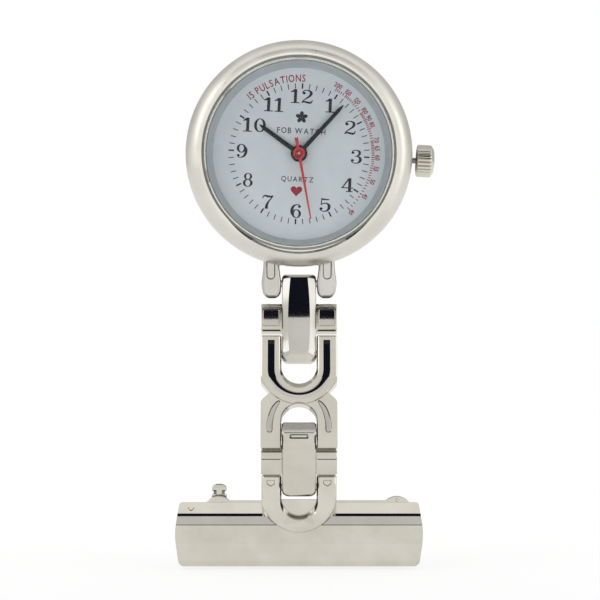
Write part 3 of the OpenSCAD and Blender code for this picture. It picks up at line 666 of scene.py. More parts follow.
def print_shapes(shapes, at, lift=0.0):
    """Flat shapes as thin raised print. Each is a little higher than the last, so that none coincide."""
    return [prism([at(p) for p in sh], PRINT_LOW - 0.0005 * (k % 2), DIAL_TOP + INK + lift + 0.0012 * (k % 6))
            for k, sh in enumerate(shapes)]


def placed(r, a, size, turn=0.0, x0=0.0, wide=1.0):
    """From a glyph's own axes to the dial: at radius r and clockwise angle a in degrees."""
    t = radians(a)
    cx, cy = r * sin(t), r * cos(t)
    c, s = cos(turn), sin(turn)

    def fn(p):
        x, y = (p[0] + x0) * size * wide, p[1] * size
        return (cx + x * c + y * s, cy - x * s + y * c)
    return fn


FIGURE_R, TICK_R, SCALE_R, RATE_R = 7.6, 8.98, 9.83, 10.44      # from the middle of the dial
FIGURE_SIZE, FIGURE_WIDE = 1.84, 1.27
RATES = (200, 150, 120, 100, 90, 80, 70, 65, 60, 55, 50, 45, 40)
navy, red = [], []
for hour in range(1, 13):
    widths = [WIDTH.get(ch, 0.74) for ch in str(hour)]
    x = -sum(widths) / 2
    for ch, w in zip(str(hour), widths):
        r = {10: 7.0, 11: 7.3}.get(hour, FIGURE_R)
        navy += print_shapes(FIGURES[ch], placed(r, 30 * hour, FIGURE_SIZE, 0, x + w / 2, FIGURE_WIDE))
        x += w
for k in range(60):
    w = 0.11 if k % 5 else 0.2
    navy += print_shapes([bar(-w / 2, -0.36, w / 2, 0.36)], placed(TICK_R, 6 * k, 1.0, radians(6 * k)))
for rate in [*range(40, 70), *range(70, 100, 2), *range(100, 150, 5), *range(150, 201, 10)]:
    y0, y1 = (-0.26, 0.3) if rate in RATES else (-0.2, 0.16)
    a = 5400 / rate               # clockwise degrees at which 15 beats have passed
    red += print_shapes([bar(-0.055, y0, 0.055, y1)], placed(SCALE_R, a, 1.0, radians(a)), 0.001)


CAPITAL = 0.729                  # height of a capital of the built-in face


def letters(text, height, squeeze=1.0, gap=0.0, weight=0.0):
    """Each letter of the built-in face as (vertices, faces, x of its middle), at that height."""
    out, x = [], 0.0
    for ch in text:
        if ch == " ":
            x += height * 0.45 * squeeze
            continue
        cu = bpy.data.curves.new("letter", "FONT")
        cu.body, cu.size, cu.align_x, cu.align_y = ch, 1.0, "LEFT", "BOTTOM_BASELINE"
        cu.resolution_u, cu.offset = 3, weight
        ob = bpy.data.objects.new("letter", cu)
        scene.collection.objects.link(ob)
        dg = bpy.context.evaluated_depsgraph_get()
        me = bpy.data.meshes.new_from_object(ob.evaluated_get(dg))
        vs = [(v.co.x, v.co.y) for v in me.vertices]
        fs = [tuple(f.vertices) for f in me.polygons]
        k = height / CAPITAL
        x0, x1 = min(p[0] for p in vs), max(p[0] for p in vs)
        w = (x1 - x0) * k * squeeze
        vs = [((p[0] - (x0 + x1) / 2) * k * squeeze, p[1] * k - height / 2) for p in vs]
        out.append((vs, fs, x + w / 2))
        x += w + gap
        bpy.data.objects.remove(ob)
        bpy.data.curves.remove(cu)
        bpy.data.meshes.remove(me)
    return out, x - gap


def raised(vs, fs, z0, z1):
    """A flat mesh given thickness: top, bottom and walls along its open edges."""
    n, edges = len(vs), {}
    for f in fs:
        for i in range(len(f)):
            e = (f[i], f[(i + 1) % len(f)])
            edges[frozenset(e)] = None if frozenset(e) in edges else e
    verts = [(x, y, z0) for x, y in vs] + [(x, y, z1) for x, y in vs]
    faces = [tuple(reversed(f)) for f in fs] + [tuple(i + n for i in f) for f in fs]
    return verts, faces + [(e[0], e[1], e[1] + n, e[0] + n) for e in edges.values() if e]


def arc_text(text, r, a_mid, height, squeeze, gap, weight=0.012):
    """Text round the dial at radius r, its middle at the clockwise angle a_mid."""
    glyphs, total = letters(text, height, squeeze, gap, weight)
    parts = []
    for vs, fs, x in glyphs:
        a = a_mid + degrees((x - total / 2) / r)
        at = placed(r, a, 1.0, radians(a))
        parts.append(raised([at(p) for p in vs], fs, PRINT_LOW, DIAL_TOP + INK))
    return parts


def line_text(text, y, height, squeeze, x_mid):
    glyphs, total = letters(text, height, squeeze, 0.19, 0.008)
    return [raised([(p[0] + x - total / 2 + x_mid, p[1] + y) for p in vs], fs, PRINT_LOW, DIAL_TOP + INK)
            for vs, fs, x in glyphs]


def heart(n=40):
    size, turns = 0.048, [2 * pi * k / n for k in range(n)]
    return [(size * 16 * sin(t) ** 3,
             size * (13 * cos(t) - 5 * cos(2 * t) - 2 * cos(3 * t) - cos(4 * t)) + 0.05) for t in turns]


def flower():
    """Five petals and a round middle."""
    shapes = []
    for a in [radians(72 * k) for k in range(5)]:
        shapes.append([(0.62 * sin(a) + 0.34 * x * cos(a) + 0.46 * y * sin(a),
                        0.62 * cos(a) - 0.34 * x * sin(a) + 0.46 * y * cos(a)) for x, y in blob(0, 0, 1, 18)])
    return shapes + [blob(0, 0, 0.2, 16)]


red += arc_text("15 PULSATIONS", 10.05, -21.4, 0.98, 0.78, 0.17)
for rate in RATES:
    red += arc_text(str(rate), RATE_R, 5400 / rate - (2.2 if rate == 80 else 0), 0.62, 0.8, 0.04, 0.024)
navy += line_text("QUARTZ", -3.35, 0.70, 0.9, -0.05)
navy += line_text("FOB WATCH", 3.05, 0.78, 0.86, 0.15)
red += print_shapes([heart()], lambda p: (p[0] - 0.1, p[1] - 4.95))
navy += print_shapes(flower(), lambda p: (0.75 * p[0] + 0.1, 0.75 * p[1] + 4.85))

dial_at = turned(TURN)
bore, low = 0.95, DIAL_TOP - 0.4
dial_profile = [(bore, low), (DIAL_R, low), (DIAL_R, DIAL_TOP - 0.03), (DIAL_R - 0.03, DIAL_TOP),
                (bore + 0.03, DIAL_TOP), (bore, DIAL_TOP - 0.03)]
piece(body_mesh("dial_plate", lathe(dial_profile, 192)), DIAL, "head", "dial_enamel", "dial")
piece(body_mesh("dial_figures", joined(navy), dial_at), PRINT, "head", "hand_black")
piece(body_mesh("pulse_scale", joined(red), dial_at), RED_PRINT, "head", "hand_red")


# ---------------------------------------------------------------- hands
def reach(node):
    return max(hypot(p[0], p[1]) for p in node_points(node))


def blade_z(node):
    """Heights of the blade of a hand, away from its hub."""
    heights = [p[2] for p in node_points(node) if hypot(p[0], p[1]) > 2]
    return min(heights), max(heights)


def bore_of(node):
    return min(hypot(p[0], p[1]) for p in node_points(node))


def baton(length, w_hub, w_tip, hub_r):
    """Front outline of a hand with a round hub, a tapering blade and a pointed end."""
    half = degrees(asin(w_hub / 2 / hub_r))
    tip = [(w_tip / 2, length - 0.85), (0.07, length - 0.1), (0, length), (-0.07, length - 0.1),
           (-w_tip / 2, length - 0.85)]
    return tip + arc(0, 0, hub_r, 90 + half, 450 - half, 60)


for node_name, body, w_hub, w_tip, hub_r in (("hour_hand", "hours", 0.60, 0.55, 1.08),
                                             ("minute_hand", "minutes", 0.58, 0.5, 1.1)):
    (low, top), bore, z0 = blade_z(node_name), bore_of(node_name), low_high(node_name)[0][2]
    outline = baton(reach(node_name), w_hub, w_tip, hub_r)
    ob = body_mesh(node_name + "_blade", slab(outline, low, top, 0.05, 0.03, 3), turned(bearing(node_name)))
    drill(ob, bore, -1, 9, plain, 48)
    if z0 < low - 0.05:
        sleeve_r = max(hypot(p[0], p[1]) for p in node_points(node_name) if p[2] < low - 0.02)
        fused(ob, lathe([(bore, z0), (sleeve_r, z0), (sleeve_r, low + 0.02), (bore, low + 0.02)], 48))
    piece(ob, HAND_BLACK, body, "hand_black", node_name)

sec_top, tip_y, end_z = blade_z("second_hand")[1], reach("second_hand"), low_high("second_hand")[1][2]
sec_low = sec_top - 0.12
outline = ([(0.085, tip_y - 0.15), (0, tip_y), (-0.085, tip_y - 0.15)] + arc(0, 0, 0.8, 104.5, 257.3, 24)
           + [(-0.24, -2.2), (0, -2.04), (0.24, -2.2)] + arc(0, 0, 0.8, 282.7, 435.5, 24))
second = body_mesh("second_hand_blade", slab(outline, sec_low, sec_top, 0.04, 0.02, 3),
                   turned(bearing("second_hand")))
fused(second, lathe(rounded([(0, sec_low - 0.1), (0.3, sec_low - 0.1), (0.3, end_z - 0.02, 0.08),
                             (0, end_z - 0.02)], 0, 4), 48))
drill(second, bore_of("second_hand"), -1, sec_top)
piece(second, [HAND_RED, HAND_RED_DARK], "seconds", "hand_red", "second_hand")
painted(second, lambda c, n: 0.25 < hypot(c[0], c[1]) < 0.42 and n[2] > 0.8 and c[2] < sec_top + 0.01, 1)
z0, z1 = sec_top - 0.01, sec_top + 0.015
hub_ring = body_mesh("second_hub_ring", lathe([(0.36, z0), (0.5, z0), (0.5, z1), (0.36, z1)], 64))
piece(hub_ring, HAND_RED_DARK, "seconds", "hand_red")
arbor_end = lathe([(0, end_z - 0.05), (0.13, end_z - 0.05), (0.11, end_z - 0.004), (0, end_z)], 24)
piece(body_mesh("second_arbor_end", arbor_end), MOVEMENT_STEEL, "seconds", "movement_steel")


# ---------------------------------------------------------------- chain
BAR_X, LEG_IN, FRONT = 2.27, 2.31, 1.15        # half width of a bar, inner face and half thickness of a leg
PITCH, U_PITCH = dist(P1, P2), dist(P2, P3)
HALF = PITCH / 2 + 1.2                         # half length of a cross link
ARM = 1.9                                      # half height of its arms


def tilt(n, lean):
    """A direction in a link's own axes."""
    c, s = cos(lean), sin(lean)
    return n[0], n[1] * c - n[2] * s, n[1] * s + n[2] * c


def arms_of(at, jewel):
    """The two short arms of a cross link, with their windows or groove."""
    if jewel:
        rim = [(ARM, 0.55, 0.16), (1.5, 0.82, 0.3), (1.02, 0.95, 0.1), (0.4 - ARM, 0.95, 0.16),
               (-ARM, 0.55, 0.16)]
    else:
        rim = [(ARM, 0.5, 0.16), (ARM - 0.45, 0.95, 0.16), (0.2 - ARM, 0.95, 0.16), (-ARM, 0.75, 0.16)]
    side = rounded([(-ARM, -1, 0.16), (ARM, -1, 0.16)] + rim, 0, 5)
    arm = body_mesh("arms", crosswise(slab(side, -CHAIN_HALF, CHAIN_HALF, 0.15, 0.15, 5)), at)
    cut(arm, prism(bar(-BAR_X, -3, BAR_X, 3), 0.5, 2), at)
    for s in (-1, 1):
        if jewel:
            window = rounded([(s * 2.7, -1.16, 0.1), (s * 4.68, -1.16, 0.2), (s * 4.68, 0.94, 0.2),
                              (s * 2.7, 0.94, 0.1)], 0, 5)
            cut(arm, sloped(window, 0.8, 1.0, 0.14), at)
        else:
            cut(arm, prism(bar(s * 2.42, 0.98, s * 4.9, 1.12), 0.72, 2), at)
    return arm


def jewel_bar(at):
    """The upper link's bar: bevels that run up from a rounded oblong to a lens-shaped mirror facet."""
    def level(z, low, high, half, r=(0.9, 0.55)):
        y0, y1 = low - HALF, HALF - high
        side = [y0 + (y1 - y0) * (0.17 + 0.11 * k) for k in range(7)]
        return [(x, y, z) for x, y in rounded(
            [(-half(y0), y0, r[0]), (half(y0), y0, r[0])] + [(half(y), y, 0) for y in side]
            + [(half(y1), y1, r[1]), (-half(y1), y1, r[1])] + [(-half(y), y, 0) for y in side[::-1]], 0, 10)]

    def flank(inset):
        return lambda y: BAR_X - inset

    def lens(y):
        return 1.45 - 0.0085 * (y + 0.7) ** 2
    return body_mesh("upper_cross_bar", stack([
        level(-1.0, 0.5, 0.5, flank(0.32)), level(-0.75, 0.2, 0.2, flank(0.07)), level(-0.5, 0, 0, flank(0)),
        level(0.2, 0, 0, flank(0)), level(0.55, 0.1, 0.1, flank(0.02)), level(0.76, 0.3, 0.27, flank(0.04)),
        level(0.83, 0.36, 0.33, flank(0.1)), level(1.33, 0.84, 0.72, lens, (0.7, 0.12))]), at)


def plain_bar(at):
    """The lower link's bar: lower corners well rounded, top end square, with a small raised oblong."""
    def level(z, inset, y0, y1):
        x = BAR_X - inset
        outline = [(-x, y0, 0.95), (x, y0, 0.95), (x, y1, 0.32), (-x, y1, 0.32)]
        return [(px, py, z) for px, py in rounded(outline, 0, 8)]
    ob = body_mesh("lower_cross_bar", stack([
        level(-1.0, 0.32, -HALF + 0.5, HALF - 0.3), level(-0.8, 0.1, -HALF + 0.2, HALF - 0.1),
        level(-0.55, 0.0, -HALF, HALF), level(0.45, 0.0, -HALF + 0.02, HALF),
        level(0.7, 0.01, -HALF + 0.14, HALF),
        level(1.1, 0.03, -HALF + 0.5, HALF - 0.02), level(1.24, 0.1, -HALF + 0.66, HALF - 0.06),
        level(1.32, 0.19, -HALF + 0.79, HALF - 0.13), level(1.35, 0.3, -HALF + 0.92, HALF - 0.22)]), at)
    cut(ob, sloped(rounded(bar(-1.2, HALF - 0.98, 1.2, HALF - 0.24), 0.1, 4), 1.2, 1.37, 0.03), at)
    return fused(ob, slab(rounded(bar(-1.0, HALF - 0.79, 1.0, HALF - 0.43), 0.06, 4), 1.1, 1.33, 0.03, 0), at)


def cross_link(name, a, b, lean, node, jewel):
    """A cross link: a middle bar over two short arms."""
    at, home = at_link(mid(a, b), lean), unlink(mid(a, b), lean)
    ob = combine((jewel_bar if jewel else plain_bar)(at), arms_of(at, jewel))
    for s in (-1, 1):
        hinge_bore(ob, at, s * PITCH / 2, 0.55)
    piece(ob, [NICKEL, FACET, DIM, SHADED], name, "nickel_plate", node, angle=16)

    def mirror(c, n):
        q = home(c)
        return jewel and tilt(n, lean)[2] > 0.985 and (abs(q[0]) < 1.6 and q[2] > 1.3
                                                       or abs(q[0]) > 2.7 and q[2] < 0.84)

    # painted shade: the bar's side walls, the top ends and the lower bar's grooves take the dark nickel
    def dim(c, n):
        q, m = home(c), tilt(n, lean)
        side = abs(m[0]) > 0.9 and abs(q[0]) < BAR_X - 0.01
        end = m[1] > 0.8 and q[2] < 1.3
        groove = not jewel and (abs(q[0]) > 2.4 and 0.95 < q[1] < 1.15 and q[2] < 0.94 and m[2] > -0.5
                                or q[2] < 1.29 and abs(q[0]) < 1.24 and HALF - 1.02 < q[1] < HALF - 0.2)
        return side or end or groove

    def worn(c, n):
        """Painted shade: the side bevels of the jewel bar, or the top end of the plain bar, in the darker
        nickel.
        """
        q, m = home(c), tilt(n, lean)
        if jewel:
            return 0.3 < abs(m[0]) < 0.7 and q[2] > 0.95 and abs(q[0]) < BAR_X
        return m[1] > 0.2 and q[1] > HALF - 0.1
    painted(ob, dim, 2)
    painted(ob, worn, 3)
    return painted(ob, mirror, 1)


cross_link("upper_cross", P1, P2, LEAN_FRONT, "upper_cross_link", True)
cross_link("lower_cross", P3, P4, LEAN_BACK, "lower_cross_link", False)

u_mid = mid(P2, P3)
u_at, u_home = at_link(u_mid, LEAN_FRONT), unlink(u_mid, LEAN_FRONT)
U_TIP, WAIST = U_PITCH / 2 + 2.35, 3.8
UP_FLOOR, LOW_FLOOR = 1.12, 1.62               # ends of the two gaps above and below the middle
rim_y, low_y = UP_FLOOR + LEG_IN, -LOW_FLOOR - LEG_IN      # middles of their round ends


def gap(r, cy, side):
    """The round end of a gap of half width r, about (0, cy); side is 1 for a gap open upwards."""
    start = 180 if side > 0 else 0
    return [(x, y, 0) for x, y in arc(0, cy, r, start, start + 180, 40)]


def u_level(z, inset, up=0.0, drop=0.0, low=0.0, rise=0.0):
    """A level of the double U: its outline moved in by inset, its gaps widened and deepened."""
    right = [(CHAIN_HALF, -U_TIP, 0.3), (CHAIN_HALF, -1.35, 0.4), (CHAIN_HALF - 0.25, -0.95, 0.5),
             (WAIST, -0.08, 0.1), (CHAIN_HALF, 1.3, 0.5), (CHAIN_HALF, U_TIP, 0.3)]
    ru, rl = LEG_IN + up, LEG_IN + low
    outline = (right + [(ru, U_TIP, 0.2)] + gap(ru, rim_y - drop, 1)[::-1] + [(-ru, U_TIP, 0.2)]
               + [(-x, y, r) for x, y, r in right[::-1]]
               + [(-rl, -U_TIP, 0.2)] + gap(rl, low_y + rise, -1)[::-1] + [(rl, -U_TIP, 0.2)])
    return [(x, y, z) for x, y in shrunk(rounded(outline, 0, 6), inset)]


u = body_mesh("double_u", stack([
    u_level(-FRONT, 0.15), u_level(-FRONT + 0.05, 0.05), u_level(-FRONT + 0.16, 0), u_level(FRONT - 0.46, 0),
    u_level(FRONT - 0.16, 0, 0.14, 0.36, 0.05, 0.05), u_level(FRONT - 0.06, 0.04, 0.17, 0.44, 0.06, 0.06),
    u_level(FRONT, 0.15, 0.17, 0.44, 0.06, 0.06)]), u_at)
thick = FRONT + 0.01
u_side = rounded([(-U_TIP, -thick, 0.9), (U_TIP, -thick, 0.9), (U_TIP, thick, 0.4),
                  (-U_TIP, thick, 0.4)], 0, 8)
common(u, crosswise(slab(u_side, -6, 6, 0, 0)), u_at)
# the lower U lies a step below the rim of the upper one
RIM_R = 2.8 + LEG_IN
sunk = [(-6, -9), (6, -9), (6, 0.2)] + arc(0, rim_y, RIM_R, -8, -172, 48) + [(-6, 0.2)]
cut(u, stack([[(x, y, FRONT - 0.26 - 0.03 * (y + 1.7)) for x, y in sunk],
              [(x, y, 3) for x, y in shrunk(sunk, -0.02)]]), u_at)
# the rounded edge of the lower U's opening, and the sunk track of the upper U
lip, lip_x, z0, z1 = gap(LEG_IN - 0.03, low_y, -1), LEG_IN - 0.03, FRONT - 0.6, FRONT + 0.1
cut(u, stack([[(x, y, z0) for x, y, _ in lip] + [(-lip_x, -9, z0), (lip_x, -9, z0)],
              [(x * 1.12, y + 0.22, z1) for x, y, _ in lip]
              + [(-LEG_IN * 1.1, -9, z1), (LEG_IN * 1.1, -9, z1)]]), u_at)
TRACK_Y, T_IN, T_OUT, T_TIP = rim_y - 0.38, 3.2, 4.1, U_TIP - 0.72
T_FALL = tan(LEAN_FRONT)                       # slope of the track's end walls, along the line of sight
T_LOW = T_TIP + (FRONT - 0.36) * T_FALL


def track_ring(z):
    tip = T_TIP + (FRONT - z) * T_FALL
    return [(x, y, z) for x, y in [(-T_OUT, tip), *arc(0, TRACK_Y, T_OUT, 180, 360, 48), (T_OUT, tip),
                                   (T_IN, tip), *arc(0, TRACK_Y, T_IN, 360, 180, 48), (-T_IN, tip)]]


cut(u, stack([track_ring(0.36), track_ring(3)]), u_at)
CRESCENT = ((2.6, -1.3, 0.1), (2.88, -1.65, 0.35), (3.34, -2.4, 0.48), (3.66, -3.4, 0.52), (3.82, -4.4, 0.52),
            (3.84, -5.2, 0.5), (3.84, -5.4, 0.25))
for s in (-1, 1):
    cut(u, sloped(stroke([(s * x, y, w) for x, y, w in CRESCENT], 6), 0.7, FRONT + 0.1, 0.3), u_at)
    hinge_bore(u, u_at, s * U_PITCH / 2)
piece(u, [NICKEL, FACET, DIM, SHADED, HAND_BLACK], "double_u", "nickel_plate", "double_u_link", angle=8)


# painted shade: the inner walls of the lower gap, the crescents' walls and the tips' end faces take the dark
# nickel
def u_dim(c, n):
    q, m = u_home(c), tilt(n, LEAN_FRONT)
    inner = abs(q[0]) < 2.9 and abs(m[0]) > 0.6 and q[1] < -1
    wall = (-5.6 < q[1] < -0.6 and 2.0 < abs(q[0]) < 4.5 and 0.7 < q[2] < FRONT - 0.1
            and (m[1] < -0.2 or m[0] * q[0] > 0.5))
    return inner or wall or (abs(m[1]) > 0.8 and abs(q[1]) > U_TIP - 0.2)


# painted shade: the chamfer at the bend, the inner walls of the upper gap and the crescents' floors take the
# darker nickel
def u_shaded(c, n):
    q, m = u_home(c), tilt(n, LEAN_FRONT)
    chamfer = -0.2 < q[1] < rim_y and hypot(q[0], q[1] - rim_y) < LEG_IN + 0.5 and m[2] < 0.95
    inner = abs(q[0]) < 2.9 and abs(m[0]) > 0.6 and q[1] > rim_y
    return chamfer or inner or (-5.6 < q[1] < -0.6 and 2.0 < abs(q[0]) < 4.5 and 0.69 < q[2] < 0.71)


painted(u, u_shaded, 3)
painted(u, u_dim, 2)
# painted shade: the end walls of the track take the hands' black, for the shade in the track's corners
painted(u, lambda c, n: (u_home(c)[1] > T_TIP - 0.05 and 3.1 < abs(c[0]) < 4.2
                         and tilt(n, LEAN_FRONT)[1] < -0.7), 4)


def track_floor():
    """Mirror floor of the track. It rises towards the waist, and falls away outwards round the bend."""
    width, steps, straight = T_OUT - T_IN - 0.006, 8, T_LOW - 0.01 - TRACK_Y
    inner, outer = T_IN + 0.003, T_OUT - 0.003
    stations = [((-1, 0), T_LOW - 0.01 - k * (T_LOW - TRACK_Y) / 8) for k in range(8)]
    stations += [((cos(t), sin(t)), TRACK_Y) for t in [pi * (1 + k / 96) for k in range(97)]]
    stations += [((1, 0), TRACK_Y + k * straight / 8) for k in range(1, 9)]

    def height(y):
        d = rim_y - y
        return 0.66 + 0.078 * d + 0.0058 * max(0, d) ** 2
    rings = []
    for d, cy in stations:
        ease = min(1, max(0, -d[1]) / 0.6)
        fall = tan(radians(8.5)) * ease * ease * (3 - 2 * ease)
        ring = []
        for t in [k / steps for k in range(steps + 1)]:
            r = inner + width * t
            y = cy + d[1] * r
            ring.append((d[0] * r, y, height(y) - fall * width * t ** 2.24 / 2.24))
        rings.append(ring + [(d[0] * r, cy + d[1] * r, 0.3) for r in (outer, inner)])
    return stack(rings)


piece(body_mesh("u_track_floor", track_floor(), u_at), FACET, "double_u", "nickel_plate", angle=30)

for k, (p, pin, body) in enumerate(((P1, "lug_pin", "head"), (P2, "link_pin_upper", "double_u"),
                                    (P3, "link_pin_lower", "double_u"), (P4, "brooch_link_pin", "brooch"))):
    lo, hi = low_high(pin)
    ob = body_mesh("hinge_pin_%d" % (k + 1), rod((hi[2] - lo[2]) / 2, lo[0], hi[0], 40, 0.08), at_link(p, 0))
    piece(ob, STEEL, body, "pin_steel", pin)


# ---------------------------------------------------------------- brooch
wire_y, plate_back = -3.4, -1.85                # height of the pin wire, back of the base plate
wire_z = plate_back - 1.5
JOINT_X, CATCH_X, RIVET_X = 13.04, -10.7, 6.5
b_at = at_link(P4, 0)


def on_brooch(x, y=0.0, z=0.0):
    """From axes shifted on the brooch to the watch's."""
    return lambda q: b_at((q[0] + x, q[1] + y, q[2] + z))


BAR_LO, BAR_HI = low_high("brooch_bar")
BAR_HALF = (BAR_HI[0] - BAR_LO[0]) / 2
BAR_TOP, BAR_LOW = -2.1, BAR_LO[1] - P4[0]
bar_mid_y = (BAR_TOP + BAR_LOW) / 2
bar_side = rounded([(BAR_TOP, -1.15, 0.05), (BAR_TOP, -1.0, 0.08), (-3.5, 0.2, 0.05), (-3.86, 0.4, 0.03),
                    (-4.93, 0.82, 0), (-4.96, 0.75, 0), (-5.02, 0.83, 0), (-7.5, 0.95, 0.4),
                    (-9.75, 0.99, 0.12), (BAR_LOW, 0.5, 0.2), (BAR_LOW, -1.15, 0.1)], 0, 5)
end_x = BAR_HALF - 0.52
ends = rounded([(end_x, BAR_LOW - 0.01, 0.9), (BAR_HALF + 0.09, bar_mid_y, 9), (end_x, BAR_TOP + 0.01, 0.5),
                (-end_x, BAR_TOP + 0.01, 0.5), (-BAR_HALF - 0.09, bar_mid_y, 9),
                (-end_x, BAR_LOW - 0.01, 0.9)], 0, 12)
bar_ob = body_mesh("brooch_casting", across(bar_side, -BAR_HALF - 1, BAR_HALF + 1), b_at)
common(bar_ob, slab(ends, -1.2, 1.05, 0.3, 0, 5), b_at)
BROOCH_TIP, SLOT = 1.64, 2.33
fork_side = rounded([(-7.0, -1.16, 0.1), (BROOCH_TIP, -1.16, 0.8), (BROOCH_TIP, 1.16, 0.35),
                     (-5.2, 1.16, 1.5), (-7.0, 0.9, 0)], 0, 8)


def fork_level(z, inset, grow=0.0, drop=0.0):
    """A level of the U that takes the chain, with its gap wider by grow and deeper by drop."""
    r = SLOT + grow
    outline = ([(CHAIN_HALF, BROOCH_TIP, 0.4), (r, BROOCH_TIP, 0.32)] + gap(r, -1.47 - drop, 1)[::-1]
               + [(-r, BROOCH_TIP, 0.32), (-CHAIN_HALF, BROOCH_TIP, 0.4)]
               + [(x, y, 0) for x, y in arc(0, -1.0, CHAIN_HALF, 180, 360, 48)])
    return [(x, y, z) for x, y in shrunk(rounded(outline, 0, 6), inset)]


fork = body_mesh("fork", stack([
    fork_level(-1.15, 0.15), fork_level(-1.1, 0.05), fork_level(-0.99, 0), fork_level(0.7, 0),
    fork_level(0.94, 0.05, 0.05, 0.3), fork_level(1.08, 0.13, 0.06, 0.36),
    fork_level(1.15, 0.28, 0.07, 0.4)]), b_at)
common(fork, across(fork_side, -6, 6), b_at)
room = [(x, y) for x, y, _ in gap(SLOT + 0.4, -1.47 - 0.4, 1)] + [(2.73, 6), (-2.73, 6)]
cut(bar_ob, prism(room, -0.35, 3), b_at)
back_web = rounded(bar(-3.2, -5.2, 3.2, -1.7), 0.3, 5)
fused(bar_ob, slab(back_web, -1.15, -0.35, 0.03, 0.03), b_at)
combine(bar_ob, fork)
for s in (-1, 1):
    mark = rounded([(s * 3.3, 0.92), (s * 4.2, 0.92), (s * 4.2, 0.52), (s * 3.75, 0.24),
                    (s * 3.3, 0.52)], 0.06, 3)
    cut(bar_ob, sloped(mark, 0.9, 1.16, 0.09), b_at)
hinge_bore(bar_ob, b_at)
for x in (-RIVET_X, RIVET_X):
    drill(bar_ob, 0.51, -2, -0.35, on_brooch(x, wire_y))
dent = arc(-14.35, -2.75, 0.42, 180, 360, 14) + arc(-14.35, -2.75, 0.3, 360, 180, 14)
cut(bar_ob, prism(dent, lambda x, y: -0.62 - 0.86 * (y + 2.75), 3), b_at)
piece(bar_ob, [NICKEL, FACET, DIM, SHADED], "brooch", "nickel_plate", "brooch_bar", angle=20)


# painted shade: the slot's inner walls and floor edge, the walls of the marks and crescents and the fork's
# top face take the dark nickel
def brooch_dim(c, n):
    y, z = c[1] - P4[0], c[2] - P4[1]
    inner = abs(c[0]) < SLOT + 0.15 and abs(n[0]) > 0.7 and -0.3 < z
    floor_edge = y < -2.0 and abs(c[0]) < SLOT + 0.1 and n[1] > 0.8 and -0.3 < z < 0.9
    notch = 0.15 < y < 1.0 and 3.2 < abs(c[0]) < 4.3 and 0.91 < z < 1.14
    crescent = hypot(c[0], y + 1.47) > SLOT - 0.01 and -4.4 < y < -3.4 and 0.7 < z < 0.95 and n[2] > 0.1
    return inner or floor_edge or notch or crescent or (y > BROOCH_TIP - 0.1 and n[1] > 0.8)


painted(bar_ob, brooch_dim, 2)
painted(bar_ob, lambda c, n: -3.87 < c[1] - P4[0] < -3.49 and n[1] > 0.3 and abs(c[0]) > 4, 1)
# painted shade: the grey band under the mirror band takes the darker nickel, and the fine groove below it the
# dark nickel
painted(bar_ob, lambda c, n: -4.95 < c[1] - P4[0] < -3.87 and n[1] > 0.3 and c[2] - P4[1] < 0.82, 3)
painted(bar_ob, lambda c, n: -5.03 < c[1] - P4[0] < -4.93 and c[2] - P4[1] < 0.81, 2)

# base plate with its two round ends, the riveted joint and the catch
disc = lathe(rounded([(0, plate_back), (2.1, plate_back, 0.1), (2.1, -1.15, 0.12), (0, -1.15)], 0, 4), 64)
plate = body_mesh("base_plate", disc, on_brooch(CATCH_X, wire_y))
fused(plate, disc, on_brooch(JOINT_X, wire_y))
fused(plate, prism(bar(CATCH_X, wire_y - 1.5, JOINT_X, wire_y + 1.5), plate_back, -1.15), b_at)
for x in (-RIVET_X, RIVET_X):
    drill(plate, 0.51, -5, 1, on_brooch(x, wire_y))
drill(plate, 0.23, -5, 1, on_brooch(JOINT_X, -1.8), 24)
softened(plate, 0.05)
piece(plate, NICKEL, "brooch", "nickel_plate", "pin_base_plate")

joint_at, swing_at = on_brooch(JOINT_X), on_brooch(JOINT_X, wire_y, wire_z)
foot = body_mesh("pin_joint_body", prism(rounded(bar(-0.75, wire_y - 0.85, 0.75, wire_y + 1.9), 0.12, 3),
                                         plate_back - 0.2, plate_back), joint_at)
ear = arc(0, wire_z, 0.75, 180, 360, 20) + [(0.75, plate_back - 0.1), (-0.75, plate_back - 0.1)]
for y in (wire_y - 0.85, wire_y + 0.45):
    fused(foot, upright(prism(ear, y, y + 0.4)), joint_at)
peg = rounded([(0, plate_back - 0.3), (0.22, plate_back - 0.3), (0.22, -1.0, 0.08), (0, -1.0)], 0, 3)
fused(foot, lathe(peg, 24), on_brooch(JOINT_X, -1.8))
cut(foot, upright(plug(0.31, -2, 2, 24)), swing_at)
softened(foot, 0.04)
piece(foot, NICKEL, "brooch", "nickel_plate", "pin_joint")

rivet = lathe(rounded([(0, -1.0), (0.5, -1.0, 0.08), (0.5, -0.86, 0.02), (0.3, -0.86), (0.3, 0.86),
                       (0.5, 0.86, 0.02), (0.5, 1.0, 0.08), (0, 1.0)], 0, 3), 32)
rivet_ob = body_mesh("joint_rivet_body", upright(rivet), swing_at)
piece(rivet_ob, STEEL, "brooch", "pin_steel", "joint_rivet")
rivet = lathe(rounded([(0, -2.05), (0.8, -2.05, 0.12), (0.8, plate_back, 0.02), (0.5, plate_back),
                       (0.5, -0.4), (0, -0.4)], 0, 3), 32)
rivets = joined([moved(rivet, lambda q, x=x: (q[0] + x, q[1] + wire_y, q[2]))
                 for x in (-RIVET_X, RIVET_X)])
piece(body_mesh("plate_rivets", rivets, b_at), STEEL, "brooch", "pin_steel", "base_rivets")

